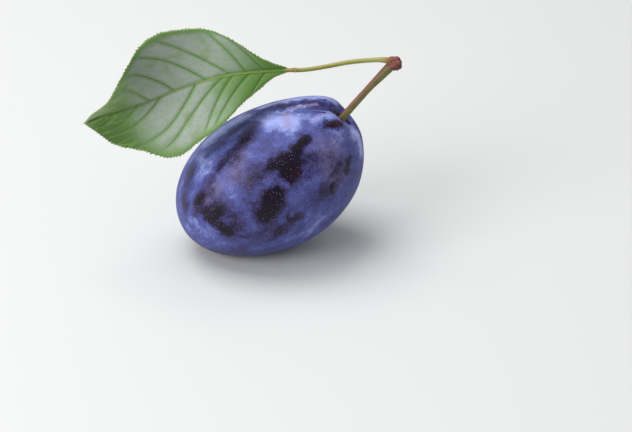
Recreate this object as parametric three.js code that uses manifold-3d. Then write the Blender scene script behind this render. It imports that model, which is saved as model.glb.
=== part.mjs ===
// A European plum as picked: the fruit with its stalk, the woody knob of its spur, and one leaf.
// Millimetres, +Z up. The origin is in the middle of the small flat spot that the fruit rests on.
// The long axis of the fruit leans up towards +X, and the leaf reaches back over it towards -X.
import * as THREE from 'three';
import { mergeVertices } from 'three/addons/utils/BufferGeometryUtils.js';
import Module from 'manifold-3d';

const { PI, abs, cos, exp, hypot, max, min, pow, sign, sin } = Math;
const { clamp, degToRad, lerp, smoothstep } = THREE.MathUtils;

const wasm = await Module();
wasm.setup();

// Clear space that is kept between two pieces that touch on the real plum.
const GAP = 0.3;

// The fruit. Its axes are the long axis to the stalk, the direction of the suture, and across both.
const FRUIT = {
  centre: new THREE.Vector3(5.1, 0.75, 19),
  lean: degToRad(36.5),
  heading: degToRad(8),
  roll: degToRad(2),
  halfLength: 24.8,
  sutureRadius: 14.9,
  backRadius: 19.3,
  sideRadius: 18.3,
  squareness: 1.93,
  sutureTaper: -0.2,
  backTaper: 0.13,
  rings: 42,
  columns: 60,
  crowding: 0.45,
};

// The groove of the suture, deepest beside the stalk, and the lobe on each side of it.
// The lobe on the far side is the fuller one.
const SUTURE = {
  depth: 1.9,
  width: 2.1,
  reach: degToRad(62),
  fade: 2.6,
  faint: 0.14,
  nearLobe: 0.1,
  farLobe: 0.7,
  lobeOffset: 5,
  lobeWidth: 3,
  calmRadius: 6,
  facing: 0.5,
};

// The funnel that the stalk stands in, the rim round it, and the small point at the blossom end.
const CAVITY = { depth: 4.8, radius: 3, aside: 0.8, rimRise: 0.25, rimRadius: 6, rimWidth: 2.5 };
const BLOSSOM = { height: 0.5, radius: 2.2, dimple: 0.4, dimpleRadius: 4.5 };

// The fruit's stalk, let into the funnel at its foot and flared at the knob.
const STALK = {
  route: [
    [22.5, 2.7, 32.1],
    [26.2, 4.7, 35.8],
    [30, 6.8, 39.4],
    [34.1, 8.7, 43.1],
  ],
  socketDepth: 0.9,
  footRadius: 1.05,
  footLength: 0.14,
  radius: 0.84,
  headRadius: 1.15,
  flareFrom: 0.62,
  sides: 16,
  steps: 22,
};

// The woody knob of the spur, a squarish lump with ridges.
const KNOB = {
  centre: new THREE.Vector3(35.6, 9.3, 44.1),
  halfSizes: new THREE.Vector3(1.8, 1.7, 1.65),
  squareness: 3.4,
  ridge: 0.09,
  ridges: 5,
  skew: 2,
  pinch: 0.1,
  rings: 14,
  columns: 25,
};

// The leaf's stalk: thickest at the knob, with two small nectar glands just below the blade.
const LEAF_STALK = {
  route: [
    [34.3, 9.1, 45],
    [32.5, 9, 45.2],
    [29.7, 8.8, 45.2],
    [24.6, 8.3, 44.9],
    [19.4, 7.7, 44.1],
    [14.3, 7.1, 43.5],
    [10.4, 6.6, 43.6],
  ],
  knobRadius: 0.84,
  knobLength: 0.1,
  radius: 0.64,
  bladeRadius: 0.5,
  glandAt: 0.93,
  glandHeight: 0.3,
  glandLength: 0.03,
  glandFocus: 3,
  sides: 14,
  steps: 40,
};

// The blade. Shares of its length run from the stalk (0) to the tip (1), those of its half width from the
// midrib (0) to the edge (1). The upper side is the one that looks up and away from the fruit. Each edge is
// a list of such shares: how far along, and how wide there.
const BLADE = {
  rib: [
    [10.05, 6.6, 43.6],
    [4, 5.2, 43.9],
    [-2.7, 3.6, 43.9],
    [-9.4, 2, 43],
    [-16.1, 0.4, 41.3],
    [-22.8, -1.1, 39.1],
    [-29.4, -2.7, 37.6],
    [-34.4, -3.9, 36.5],
    [-37.2, -4.6, 35.2],
  ],
  halfWidth: 14.1,
  upperEdge: [
    [0, 0.04],
    [0.07, 0.12],
    [0.13, 0.24],
    [0.2, 0.45],
    [0.27, 0.66],
    [0.35, 0.85],
    [0.5, 0.95],
    [0.66, 0.98],
    [0.74, 1],
    [0.8, 0.87],
    [0.86, 0.54],
    [0.91, 0.3],
    [0.96, 0.13],
    [1, 0.015],
  ],
  lowerEdge: [
    [0, 0.04],
    [0.08, 0.15],
    [0.15, 0.33],
    [0.22, 0.51],
    [0.35, 0.78],
    [0.48, 0.94],
    [0.6, 1.01],
    [0.68, 0.97],
    [0.76, 0.78],
    [0.84, 0.64],
    [0.91, 0.47],
    [0.96, 0.3],
    [1, 0.015],
  ],
  thickness: 0.64,
  keel: 0.5,
  keelRadius: 0.7,
  keelFade: 0.75,
  columns: [0.06, 0.3, 0.66, 1],
};

// The saw teeth of the edge: each row of points ends in a tooth or in the notch beside it.
const TEETH = { count: 52, height: 0.42, lean: 0.35, firstShare: 0.04, lastShare: 0.985, evenness: 0.35 };

// The side veins are pressed into the upper face, stand out below, and sweep forward to the edge.
const VEINS = {
  upper: [0.11, 0.2, 0.28, 0.4, 0.56, 0.67, 0.78, 0.87],
  lower: [0.1, 0.19, 0.27, 0.35, 0.47, 0.62, 0.76, 0.87],
  depth: 0.28,
  width: 0.62,
  sweep: 0.2,
  sweepFrom: 0.35,
  curl: 1.3,
  rise: 0.1,
  fade: 4,
};

// How the blade stands: folded up along its midrib, turning over towards its tip, and waved.
const POSTURE = {
  baseFold: degToRad(20),
  midFold: degToRad(6),
  tipFold: degToRad(32),
  midAt: 0.4,
  creaseRadius: 3,
  facing: new THREE.Vector3(0.05, -0.7, 0.71),
  tipFacing: new THREE.Vector3(0.1, -0.97, -0.21),
  turnFrom: 0.3,
  turnTo: 0.92,
  waveHeight: 0.7,
  waves: 2.6,
  upperPhase: 0.6,
  lowerPhase: 2.4,
  bulge: 0.3,
  bulgeFocus: 3,
  bulges: 3.7,
  upperBulgePhase: 1.2,
  lowerBulgePhase: -0.9,
};

// The block below the surface that the fruit rests on. It cuts the flat spot.
const GROUND = { width: 120, depth: 40 };

const FINISH = {
  skin: { color: 0x4a4a78, roughness: 0.55, metalness: 0 },
  stalk: { color: 0x75653f, roughness: 0.6, metalness: 0 },
  knob: { color: 0x6f443b, roughness: 0.85, metalness: 0 },
  leafStalk: { color: 0xa3a04a, roughness: 0.5, metalness: 0 },
  leaf: { color: 0x5f8a4a, roughness: 0.45, metalness: 0 },
};

const bell = (distance, width) => exp(-pow(distance / width, 2));

// Closes a skin of equal rings between a first and a last point.
function closedSkin(first, rings, last) {
  const columns = rings[0].length;
  const points = [first, ...rings.flat(), last];
  const end = points.length - 1;
  const at = (ring, column) => 1 + ring * columns + (column % columns);
  const index = [];
  for (let column = 0; column < columns; column++) {
    index.push(0, at(0, column), at(0, column + 1));
    index.push(end, at(rings.length - 1, column + 1), at(rings.length - 1, column));
  }
  for (let ring = 0; ring < rings.length - 1; ring++) {
    for (let column = 0; column < columns; column++) {
      index.push(at(ring, column), at(ring + 1, column), at(ring + 1, column + 1));
      index.push(at(ring, column), at(ring + 1, column + 1), at(ring, column + 1));
    }
  }
  const geometry = new THREE.BufferGeometry().setFromPoints(points);
  geometry.setIndex(index);
  return geometry;
}

function toSolid(geometry) {
  const plain = geometry.clone();
  plain.deleteAttribute('normal');
  plain.deleteAttribute('uv');
  const merged = mergeVertices(plain);
  const vertProperties = Float32Array.from(merged.attributes.position.array);
  const triVerts = Uint32Array.from(merged.index.array);
  return new wasm.Manifold(new wasm.Mesh({ numProp: 3, vertProperties, triVerts }));
}

function toGeometry(solid) {
  const { vertProperties, triVerts } = solid.getMesh();
  const geometry = new THREE.BufferGeometry();
  geometry.setAttribute('position', new THREE.BufferAttribute(Float32Array.from(vertProperties), 3));
  geometry.setIndex(Array.from(triVerts));
  return geometry;
}

function namedMesh(name, geometry, finish) {
  geometry.computeVertexNormals();
  const mesh = new THREE.Mesh(geometry, new THREE.MeshStandardMaterial(finish));
  mesh.name = name;
  return mesh;
}

function curveThrough(points) {
  return new THREE.CatmullRomCurve3(points.map((point) => new THREE.Vector3(...point)));
}

// A closed round stem along a curve. radiusAt gives the radius at a share of the length and at a turn.
function stem(curve, radiusAt, up, { sides, steps }) {
  const rings = [];
  for (let step = 0; step <= steps; step++) {
    const at = step / steps;
    const tangent = curve.getTangentAt(at);
    const side = new THREE.Vector3().crossVectors(tangent, up).normalize();
    const over = new THREE.Vector3().crossVectors(side, tangent);
    const ring = [];
    for (let column = 0; column < sides; column++) {
      const turn = (2 * PI * column) / sides;
      const radius = radiusAt(at, turn);
      const point = curve.getPointAt(at).addScaledVector(over, radius * cos(turn));
      ring.push(point.addScaledVector(side, -radius * sin(turn)));
    }
    rings.push(ring);
  }
  return closedSkin(curve.getPointAt(0), rings, curve.getPointAt(1));
}

// The fruit's own axes, as unit vectors.
function fruitAxes() {
  const { lean, heading, roll } = FRUIT;
  const long = new THREE.Vector3(cos(lean) * cos(heading), cos(lean) * sin(heading), sin(lean));
  const level = new THREE.Vector3(sin(heading), -cos(heading), 0);
  const upright = new THREE.Vector3().crossVectors(level, long);
  const suture = upright.multiplyScalar(cos(roll)).addScaledVector(level, sin(roll));
  return { long, suture, across: new THREE.Vector3().crossVectors(long, suture) };
}

const AXES = fruitAxes();

function onFruit(along, towardsSuture, across) {
  return FRUIT.centre.clone()
    .addScaledVector(AXES.long, along)
    .addScaledVector(AXES.suture, towardsSuture)
    .addScaledVector(AXES.across, across);
}

// How far the skin stands in or out beside the suture, at a distance across it.
function sutureRelief(polar, offset) {
  const strength = exp(-pow(polar / SUTURE.reach, SUTURE.fade));
  const groove = (SUTURE.depth * strength + SUTURE.faint * sin(polar)) * bell(offset, SUTURE.width);
  const rise = offset > 0 ? SUTURE.nearLobe : SUTURE.farLobe;
  const lobe = rise * strength * bell(abs(offset) - SUTURE.lobeOffset, SUTURE.lobeWidth);
  return lobe - groove;
}

// One point of the skin. polar runs from the stalk end to the blossom end, turn starts at the suture.
function fruitSkin(polar, turn) {
  const along = cos(polar);
  const fullness = pow(1 - pow(abs(along), FRUIT.squareness), 1 / FRUIT.squareness);
  const depth = cos(turn) > 0 ? FRUIT.sutureRadius : FRUIT.backRadius;
  const section = 1 / hypot(cos(turn) / depth, sin(turn) / FRUIT.sideRadius);
  const taper = lerp(FRUIT.backTaper, FRUIT.sutureTaper, 0.5 + 0.5 * cos(turn));
  let radius = fullness * section * (1 + taper * along);
  const facesSuture = smoothstep(cos(turn), 0, SUTURE.facing) * smoothstep(radius, 0, SUTURE.calmRadius);
  radius += facesSuture * sutureRelief(polar, radius * sin(turn));
  const towardsSuture = radius * cos(turn);
  const across = radius * sin(turn);
  let height = FRUIT.halfLength * along;
  if (along > 0) {
    height += CAVITY.rimRise * bell(radius - CAVITY.rimRadius, CAVITY.rimWidth);
    height -= CAVITY.depth * bell(hypot(towardsSuture, across - CAVITY.aside), CAVITY.radius);
  } else {
    height += BLOSSOM.dimple * bell(radius, BLOSSOM.dimpleRadius);
    height -= BLOSSOM.height * bell(radius, BLOSSOM.radius);
  }
  return onFruit(height, towardsSuture, across);
}

// The whole skin. Rings lie closer at the two ends and columns closer at the suture.
function fruitGeometry() {
  const rings = [];
  for (let ring = 1; ring < FRUIT.rings; ring++) {
    const share = ring / FRUIT.rings;
    const polar = 0.5 * PI * (share + 0.5 - 0.5 * cos(PI * share));
    const row = [];
    for (let column = 0; column < FRUIT.columns; column++) {
      const even = (2 * PI * column) / FRUIT.columns;
      row.push(fruitSkin(polar, even - FRUIT.crowding * sin(even)));
    }
    rings.push(row);
  }
  return closedSkin(fruitSkin(0, 0), rings, fruitSkin(PI, 0));
}

function stalkRadius(at) {
  const foot = (STALK.footRadius - STALK.radius) * bell(at, STALK.footLength);
  const flare = (STALK.headRadius - STALK.radius) * smoothstep(at, STALK.flareFrom, 1);
  return STALK.radius + foot + flare;
}

// The stalk stands in the middle of the funnel. A clearance makes it fatter all round, as its socket.
function stalkSolid(clearance) {
  const footDepth = CAVITY.depth + STALK.socketDepth + clearance;
  const foot = onFruit(FRUIT.halfLength - footDepth, 0, CAVITY.aside);
  const curve = curveThrough([foot.toArray(), ...STALK.route]);
  const up = new THREE.Vector3(0, -1, 0);
  return toSolid(stem(curve, (at) => stalkRadius(at) + clearance, up, STALK));
}

function leafStalkRadius(at, turn) {
  const narrowing = lerp(LEAF_STALK.radius, LEAF_STALK.bladeRadius, at);
  const foot = (LEAF_STALK.knobRadius - LEAF_STALK.radius) * bell(at, LEAF_STALK.knobLength);
  const beside = pow(abs(sin(turn)), LEAF_STALK.glandFocus);
  const gland = LEAF_STALK.glandHeight * beside * bell(at - LEAF_STALK.glandAt, LEAF_STALK.glandLength);
  return narrowing + foot + gland;
}

function leafStalkSolid(clearance) {
  const radiusAt = (at, turn) => leafStalkRadius(at, turn) + clearance;
  return toSolid(stem(curveThrough(LEAF_STALK.route), radiusAt, POSTURE.facing, LEAF_STALK));
}

const squared = (value) => sign(value) * pow(abs(value), 2 / KNOB.squareness);

function knobPoint(polar, turn) {
  const ridge = 1 + KNOB.ridge * sin(polar) * sin(KNOB.ridges * turn + KNOB.skew * cos(polar));
  const girth = ridge * squared(sin(polar));
  return new THREE.Vector3(
    squared(cos(polar)) * (1 + KNOB.pinch * cos(2 * turn) * sin(polar)),
    girth * squared(cos(turn)),
    girth * squared(sin(turn)),
  ).multiply(KNOB.halfSizes).add(KNOB.centre);
}

// The knob, before the two stems are let into it.
function knobSolid() {
  const rings = [];
  for (let ring = 1; ring < KNOB.rings; ring++) {
    const row = [];
    for (let column = 0; column < KNOB.columns; column++) {
      row.push(knobPoint((PI * ring) / KNOB.rings, (2 * PI * column) / KNOB.columns));
    }
    rings.push(row);
  }
  return toSolid(closedSkin(knobPoint(0, 0), rings, knobPoint(PI, 0)));
}

const RIB = curveThrough(BLADE.rib);
const RIB_LENGTH = RIB.getLength();

// A smooth curve through marks, each a place and the value there.
function profile(marks, place) {
  const last = marks.length - 1;
  const next = marks.findIndex(([mark], at) => at > 0 && (mark >= place || at === last));
  const [start, startValue] = marks[next - 1];
  const [end, endValue] = marks[next];
  const before = marks[max(next - 2, 0)];
  const after = marks[min(next + 1, last)];
  const span = end - start;
  const leave = (span * (endValue - before[1])) / (end - before[0]);
  const arrive = (span * (after[1] - startValue)) / (after[0] - start);
  const share = (place - start) / span;
  const square = share ** 2;
  const cube = share ** 3;
  return lerp(startValue, endValue, 3 * square - 2 * cube)
    + leave * (cube - 2 * square + share) + arrive * (cube - square);
}

// Half width of the blade at a share of its length, without the teeth.
function bladeHalfWidth(along, isUpper) {
  return BLADE.halfWidth * profile(isUpper ? BLADE.upperEdge : BLADE.lowerEdge, along);
}

// Where a row of the blade stands. A row reaches the edge at the share edge, leaves the midrib further
// back and sweeps forward as a side vein does. across runs from -1 to 1.
function bladeStation(edge, across) {
  const isUpper = across > 0;
  const share = abs(across);
  const calm = sin(PI * edge);
  const root = edge - VEINS.sweep * calm * smoothstep(edge, 0, VEINS.sweepFrom);
  const along = clamp(lerp(root, edge, pow(share, VEINS.curl)), 0, 1);
  const turned = smoothstep(along, POSTURE.turnFrom, POSTURE.turnTo);
  const baseFold = lerp(POSTURE.baseFold, POSTURE.midFold, smoothstep(along, 0, POSTURE.midAt));
  const fold = lerp(baseFold, POSTURE.tipFold, turned);
  const facing = POSTURE.facing.clone().lerp(POSTURE.tipFacing, turned);
  const side = new THREE.Vector3().crossVectors(RIB.getTangentAt(along), facing).normalize();
  const over = new THREE.Vector3().crossVectors(side, RIB.getTangentAt(along));
  return { isUpper, share, calm, root, along, fold, side, over };
}

// A point of the blade's middle sheet.
function bladeSheet(edge, across, extra = 0) {
  const { isUpper, share, calm, root, along, fold, side, over } = bladeStation(edge, across);
  const bulgePhase = isUpper ? POSTURE.upperBulgePhase : POSTURE.lowerBulgePhase;
  const bulgeTurn = 2 * PI * POSTURE.bulges * edge + bulgePhase;
  const bulge = POSTURE.bulge * calm * pow(share, POSTURE.bulgeFocus) * sin(bulgeTurn);
  const reach = share * bladeHalfWidth(edge, isUpper) + bulge + extra;

  const wavePhase = isUpper ? POSTURE.upperPhase : POSTURE.lowerPhase;
  const wave = POSTURE.waveHeight * calm * share * share * sin(2 * PI * POSTURE.waves * along + wavePhase);
  const places = isUpper ? VEINS.upper : VEINS.lower;
  const vein = places.reduce((sum, place) => sum + bell((root - place) * RIB_LENGTH, VEINS.width), 0);
  const pressed = VEINS.depth * vein * smoothstep(share, 0, VEINS.rise) * (1 - pow(share, VEINS.fade));
  return RIB.getPointAt(along)
    .addScaledVector(side, sign(across) * reach * cos(fold))
    .addScaledVector(over, reach * sin(fold) + wave - pressed);
}

// Direction out of the upper face, rounded over the midrib.
function bladeNormal(edge, across) {
  const { isUpper, share, fold, side, over } = bladeStation(edge, across);
  const tilt = fold * smoothstep(share * bladeHalfWidth(edge, isUpper), 0, POSTURE.creaseRadius);
  return over.multiplyScalar(cos(tilt)).addScaledVector(side, -sign(across) * sin(tilt));
}

// A point of the sheet with the teeth: every second row is drawn out and forward at the edge.
function toothedSheet(edge, across, isTooth) {
  if (abs(across) < 1 || !isTooth) return bladeSheet(edge, across);
  const calm = sin(PI * clamp(edge, TEETH.firstShare, TEETH.lastShare));
  const point = bladeSheet(edge, across, TEETH.height * pow(calm, TEETH.evenness));
  return point.addScaledVector(RIB.getTangentAt(edge), TEETH.lean * calm);
}

// The blade: two faces of the same rows and columns, split along the same diagonals, and the toothed rim.
function bladeGeometry() {
  const columns = [...BLADE.columns.toReversed().map((share) => -share), 0, ...BLADE.columns];
  const width = columns.length;
  const rows = 2 * TEETH.count;
  const upper = [];
  const lower = [];
  for (let row = 0; row <= rows; row++) {
    const edge = row / rows;
    for (const across of columns) {
      const middle = toothedSheet(edge, across, row % 2 === 1);
      const normal = bladeNormal(edge, across);
      const aside = across * bladeHalfWidth(edge, across > 0);
      const keel = BLADE.keel * (1 - BLADE.keelFade * edge) * bell(aside, BLADE.keelRadius);
      upper.push(middle.clone().addScaledVector(normal, 0.5 * BLADE.thickness));
      lower.push(middle.clone().addScaledVector(normal, -0.5 * BLADE.thickness - keel));
    }
  }
  const below = upper.length;
  const index = [];
  for (let row = 0; row < rows; row++) {
    for (let column = 0; column < width - 1; column++) {
      const a = row * width + column;
      const b = a + width;
      index.push(a, b + 1, b, a, a + 1, b + 1);
      index.push(below + a, below + b, below + b + 1, below + a, below + b + 1, below + a + 1);
    }
    const near = row * width;
    const far = near + width - 1;
    index.push(near, below + near + width, below + near, near, near + width, below + near + width);
    index.push(far + width, below + far, below + far + width, far + width, far, below + far);
  }
  for (let column = 0; column < width - 1; column++) {
    const last = rows * width + column;
    index.push(column + 1, below + column, below + column + 1, column + 1, column, below + column);
    index.push(last, below + last + 1, below + last, last, last + 1, below + last + 1);
  }
  const geometry = new THREE.BufferGeometry().setFromPoints([...upper, ...lower]);
  geometry.setIndex(index);
  return geometry;
}

function groundSolid() {
  const ground = new THREE.BoxGeometry(GROUND.width, GROUND.width, GROUND.depth);
  ground.translate(0, 0, -0.5 * GROUND.depth);
  return toSolid(ground);
}

const fruit = toSolid(fruitGeometry()).subtract(groundSolid()).subtract(stalkSolid(GAP));
const knob = knobSolid().subtract(stalkSolid(GAP)).subtract(leafStalkSolid(GAP));

const plum = new THREE.Group();
plum.add(namedMesh('fruit', toGeometry(fruit), FINISH.skin));
plum.add(namedMesh('fruit_stalk', toGeometry(stalkSolid(0)), FINISH.stalk));
plum.add(namedMesh('spur_knob', toGeometry(knob), FINISH.knob));
plum.add(namedMesh('leaf_stalk', toGeometry(leafStalkSolid(0)), FINISH.leafStalk));
plum.add(namedMesh('leaf_blade', bladeGeometry(), FINISH.leaf));

export default plum;
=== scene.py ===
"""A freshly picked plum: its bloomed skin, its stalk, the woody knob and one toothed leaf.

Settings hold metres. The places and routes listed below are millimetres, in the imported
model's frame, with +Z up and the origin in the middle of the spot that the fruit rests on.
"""
import functools
import math

import bmesh
import bpy
from bpy.props import FloatProperty, FloatVectorProperty, IntProperty, PointerProperty
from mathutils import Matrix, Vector


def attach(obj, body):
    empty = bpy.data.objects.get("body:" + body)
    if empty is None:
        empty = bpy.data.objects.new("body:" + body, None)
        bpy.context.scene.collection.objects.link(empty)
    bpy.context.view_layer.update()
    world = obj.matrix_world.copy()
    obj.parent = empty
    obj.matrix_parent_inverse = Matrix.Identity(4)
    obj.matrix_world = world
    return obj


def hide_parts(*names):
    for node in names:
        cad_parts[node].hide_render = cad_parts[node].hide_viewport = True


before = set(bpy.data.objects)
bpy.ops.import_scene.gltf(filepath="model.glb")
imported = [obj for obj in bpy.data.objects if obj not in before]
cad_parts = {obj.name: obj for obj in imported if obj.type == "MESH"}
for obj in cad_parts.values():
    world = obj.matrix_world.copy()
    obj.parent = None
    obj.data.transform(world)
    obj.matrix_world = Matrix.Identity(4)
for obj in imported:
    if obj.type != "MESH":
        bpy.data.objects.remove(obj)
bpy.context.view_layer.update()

bl_info = {
    "name": "Plum with its leaf",
    "version": (1, 0, 0),
    "blender": (4, 5, 0),
    "location": "View3D > Sidebar > Plum",
    "description": "Makes the skin, stems, woody knob, leaf and stage of a freshly picked plum",
    "category": "Object",
}

MM = 0.001
BODY = "root"
MERGE_DISTANCE = 0.0005 * MM
SENSOR_WIDTH = 36
FLOOR_LEVEL = -0.05 * MM
LIGHT_AIM = (0, 0, 0.02)
LENTICEL_SEED = 4

# How the fruit lies: its long axis leans up towards the stalk.
FRUIT_CENTRE = (5.1, 0.75, 19)
FRUIT_LEAN = math.radians(36.5)
FRUIT_HEADING = math.radians(8)
FRUIT_ROLL = math.radians(2)

# Where the stems run. The stalk's first point is the foot, sunk in the fruit's cavity.
STALK_ROUTE = [
    (20, 1.9, 29.3), (22.5, 2.7, 32.1), (26.2, 4.7, 35.8), (30, 6.8, 39.4), (34.6, 8.9, 43.5),
]
LEAF_STALK_ROUTE = [
    (34.9, 9.2, 44.8), (32.5, 9, 45.2), (29.7, 8.8, 45.2), (24.6, 8.3, 44.9),
    (19.4, 7.7, 44.1), (14.3, 7.1, 43.5), (10.4, 6.6, 43.6), (9.2, 6.35, 43.65),
]
KNOB_CENTRE = (35.6, 9.3, 44.1)
KNOB_HALF_SIZES = (1.8, 1.7, 1.65)

# The midrib, from the leaf's stalk to the hair at its tip.
RIB_ROUTE = [
    (10.05, 6.6, 43.6), (4, 5.2, 43.9), (-2.7, 3.6, 43.9), (-9.4, 2, 43), (-16.1, 0.4, 41.3),
    (-22.8, -1.1, 39.1), (-29.4, -2.7, 37.6), (-34.4, -3.9, 36.5), (-37.2, -4.6, 35.2),
]
TIP_HAIR = (-38.2, -4.85, 34.95)
# Half width of the blade: share of the midrib, share of the greatest half width.
UPPER_EDGE = [
    (0, 0.04), (0.07, 0.12), (0.13, 0.24), (0.2, 0.45), (0.27, 0.66), (0.35, 0.85), (0.5, 0.95),
    (0.66, 0.98), (0.74, 1.0), (0.8, 0.87), (0.86, 0.54), (0.91, 0.3), (0.96, 0.13), (1, 0.015),
]
LOWER_EDGE = [
    (0, 0.04), (0.08, 0.15), (0.15, 0.33), (0.22, 0.51), (0.35, 0.78), (0.48, 0.94), (0.6, 1.01),
    (0.68, 0.97), (0.76, 0.78), (0.84, 0.64), (0.91, 0.47), (0.96, 0.3), (1, 0.015),
]
# Side veins: where each leaves the midrib, where it meets the edge, and how it bends.
UPPER_VEINS = [
    (0.08, 0.28, 1.0), (0.198, 0.345, 1.0), (0.275, 0.58, 1.05), (0.395, 0.68, 1.1),
    (0.553, 0.775, 1.15), (0.678, 0.81, 1.0), (0.785, 0.89, 1.4), (0.87, 0.94, 1.2),
]
LOWER_VEINS = [
    (0.09, 0.2, 1.0), (0.17, 0.44, 1.0), (0.25, 0.5, 0.9), (0.3, 0.73, 1.0),
    (0.445, 0.81, 1.2), (0.625, 0.96, 1.1), (0.74, 0.975, 1.1), (0.85, 0.99, 1.1),
]
RIB_LENGTH = 49.75
USUAL_HALF_WIDTH = 13
LEAF_FACING = Vector((0.05, -0.7, 0.71))
TIP_FACING = Vector((0.1, -0.97, -0.21))

# How softly the strokes below end, and how far their edges stray in the bloom, in millimetres.
RUB_SOFTNESS = 0.75
BLOOM_SOFTNESS = 0.9
MARK_SOFTNESS = 0.6
WOBBLE = 3.4

# Where the bloom was rubbed off: start, end, half width, and how much went.
RUBS = [
    ((2.2, -2.6, 33.2), (-0.6, -7.3, 30.6), 2.0, 0.58),
    ((-0.9, -7.7, 30.3), (-6.3, -9.5, 26), 1.5, 0.48),
    ((0.3, 0.6, 32.6), (-3.7, -2, 30.5), 1.0, 0.42),
    ((-5.5, -3.6, 29.2), (-8.9, -4.1, 26.6), 1.2, 0.46),
    ((-12.6, -4.2, 22.3), (-13.6, -8.6, 15.6), 1.9, 0.75),
    ((-7.9, -10.8, 23.4), (-11.9, -11.7, 15.4), 1.6, 0.6),
    ((-9.6, -13.3, 16.9), (-7, -15.1, 16.8), 1.4, 0.42),
    ((-8.2, -14.5, 15.4), (-3.8, -16.3, 12.8), 1.3, 0.62),
    ((9.9, -12.6, 29.6), (11, -14.2, 27.2), 2.2, 1.0),
    ((7.2, -12.9, 29), (9.2, -13.7, 28.3), 1.3, 0.66),
    ((14.3, -4.9, 35.1), (13.1, -7.4, 33.8), 1.3, 0.42),
    ((14.3, -8.5, 33.1), (12.2, -10.6, 31.6), 1.5, 0.8),
    ((7.6, -16.6, 23), (4.8, -17.6, 17.6), 2.3, 0.78),
    ((19.9, -4.2, 34.9), (22, -3.5, 34.4), 1.1, 0.95),
    ((20.6, -11.8, 22.9), (20.5, -11.8, 21.2), 0.7, 0.7),
    ((24.6, -6.9, 27.2), (24.2, -8.3, 24.3), 0.9, 0.5),
    ((10.8, -16.4, 16.2), (13.4, -15.6, 16.5), 1.0, 0.5),
]

# Where the bloom lies thicker, fading out softly: start, end, half width, and how much more there
# is. Some entries are painted highlights and painted pale rims, as noted below.
THICK_BLOOM_AND_HIGHLIGHTS = [
    # Thicker bloom on the top, partly a painted highlight.
    ((6.4, -1.6, 34.7), (11.8, -4.5, 35.1), 3.4, 0.5),
    # The next two are painted highlights along the near edge of the groove.
    ((6.5, 1.2, 34.7), (11.2, 1.9, 35.4), 0.6, 0.4),
    ((11.2, 2.3, 35.6), (16.9, 3.7, 36.1), 0.45, 0.6),
    ((16, -3.4, 35.7), (20.7, -1, 35.7), 1.4, 0.3),
    # The next two are a pale painted rim along the top outline.
    ((4, 5.5, 34.2), (14.2, 5.9, 36.5), 1.3, 0.7),
    ((14.2, 5.9, 36.5), (20.9, 6.2, 35.6), 1.2, 0.65),
    # The next three are painted light on the right: a pale rim along the outline and a highlight on
    # the near rim by the stalk.
    ((24.6, 3.4, 31), (26.3, -0.8, 30.4), 1.5, 0.8),
    ((26.3, -0.8, 30.4), (27.7, -1.6, 26), 1.2, 0.6),
    ((23.2, 0.8, 32.7), (24.9, -2, 30.4), 1.3, 0.7),
    # The next three are partly painted light: a pale rim on the left and upper left side.
    ((-8.9, -7.4, 25.4), (-9.8, -8.6, 22.6), 2.8, 0.2),
    ((-11.7, 0.9, 24.6), (-8.9, -7.4, 25.4), 2.4, 0.2),
    ((-9.7, 1.7, 26.7), (-1.2, 3.4, 32.3), 2.0, 0.45),
    ((-12.6, -8.2, 17.6), (-11.8, -11.4, 13.4), 1.5, 0.3),
    ((-4.2, -13.3, 24), (-1.5, -16.2, 20.9), 2.6, 0.12),
    ((6, -15.9, 24.8), (9.3, -15.6, 25.1), 1.0, 0.3),
]

# Where the bloom lies thin, fading out softly: start, end, half width, and how much less there is.
# Some entries are painted shade, as noted below.
THIN_BLOOM_AND_SHADE = [
    ((2.6, -7, 32.1), (7.4, -12.4, 29.6), 2.8, 0.22),
    ((8.5, -14.3, 26.5), (6, -17, 20), 3.0, 0.26),
    ((1.8, -13.2, 27.4), (3.6, -17.6, 18.1), 2.2, 0.16),
    ((15, -12.5, 28.8), (22.2, -9.8, 26.2), 3.2, 0.3),
    ((19.1, -12.9, 22), (11.8, -15.9, 15.3), 3.0, 0.2),
    # The next two are painted shade just beyond the groove, below the pale top rim.
    ((4, 4, 34.5), (13.4, 4.1, 36.2), 1.2, 0.34),
    ((13.4, 4.3, 36.3), (20.5, 4.4, 35.9), 1.3, 0.36),
    # The next two are thinner bloom low on the front, partly painted shade near the floor.
    ((-1.7, -16.8, 12.9), (7.7, -16.4, 12.6), 3.0, 0.34),
    ((-6.7, -14.9, 18.3), (-0.9, -17.2, 14.2), 3.2, 0.4),
    ((1.8, -13.2, 27.4), (6.5, -13.8, 27.9), 2.2, 0.34),
    ((-1.3, -10.3, 28.6), (-1.2, -13, 26.3), 2.2, 0.26),
]

# Where the bloom is greyish pink: start, end, half width, strength. The first entry is a painted
# highlight along the near edge of the groove.
PINK_BLOOM_AND_HIGHLIGHT = [
    # Painted highlight along the near edge of the groove.
    ((11.2, 2.3, 35.6), (16.9, 3.7, 36.1), 0.32, 0.8),
    ((9.6, 0.4, 35), (10.4, -4.6, 34.8), 1.1, 0.5),
    ((-1.3, -10.3, 28.6), (-2.2, -12.4, 26), 2.4, 0.35),
    ((19.5, -9.5, 30.5), (21.5, -10.5, 25.5), 3.4, 0.4),
    ((-6.2, -12.6, 22.6), (-8, -13.4, 19.4), 2.2, 0.3),
]

# Dark red marks beside the stalk: start, end, half width, strength. The first is a painted shadow
# along the edge of the groove.
RED_MARKS_AND_GROOVE_SHADE = [
    ((16.6, -0.8, 36.2), (18.9, -1, 36.1), 0.28, 0.85),
    ((21.7, 3.9, 33.7), (22.6, 4.4, 32.6), 0.7, 0.9),
    ((24.1, 5, 31.2), (24.8, 4.6, 30.6), 0.5, 0.8),
    ((21.3, -3.7, 34.7), (22.3, -3.3, 34.3), 0.8, 0.5),
]


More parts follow.
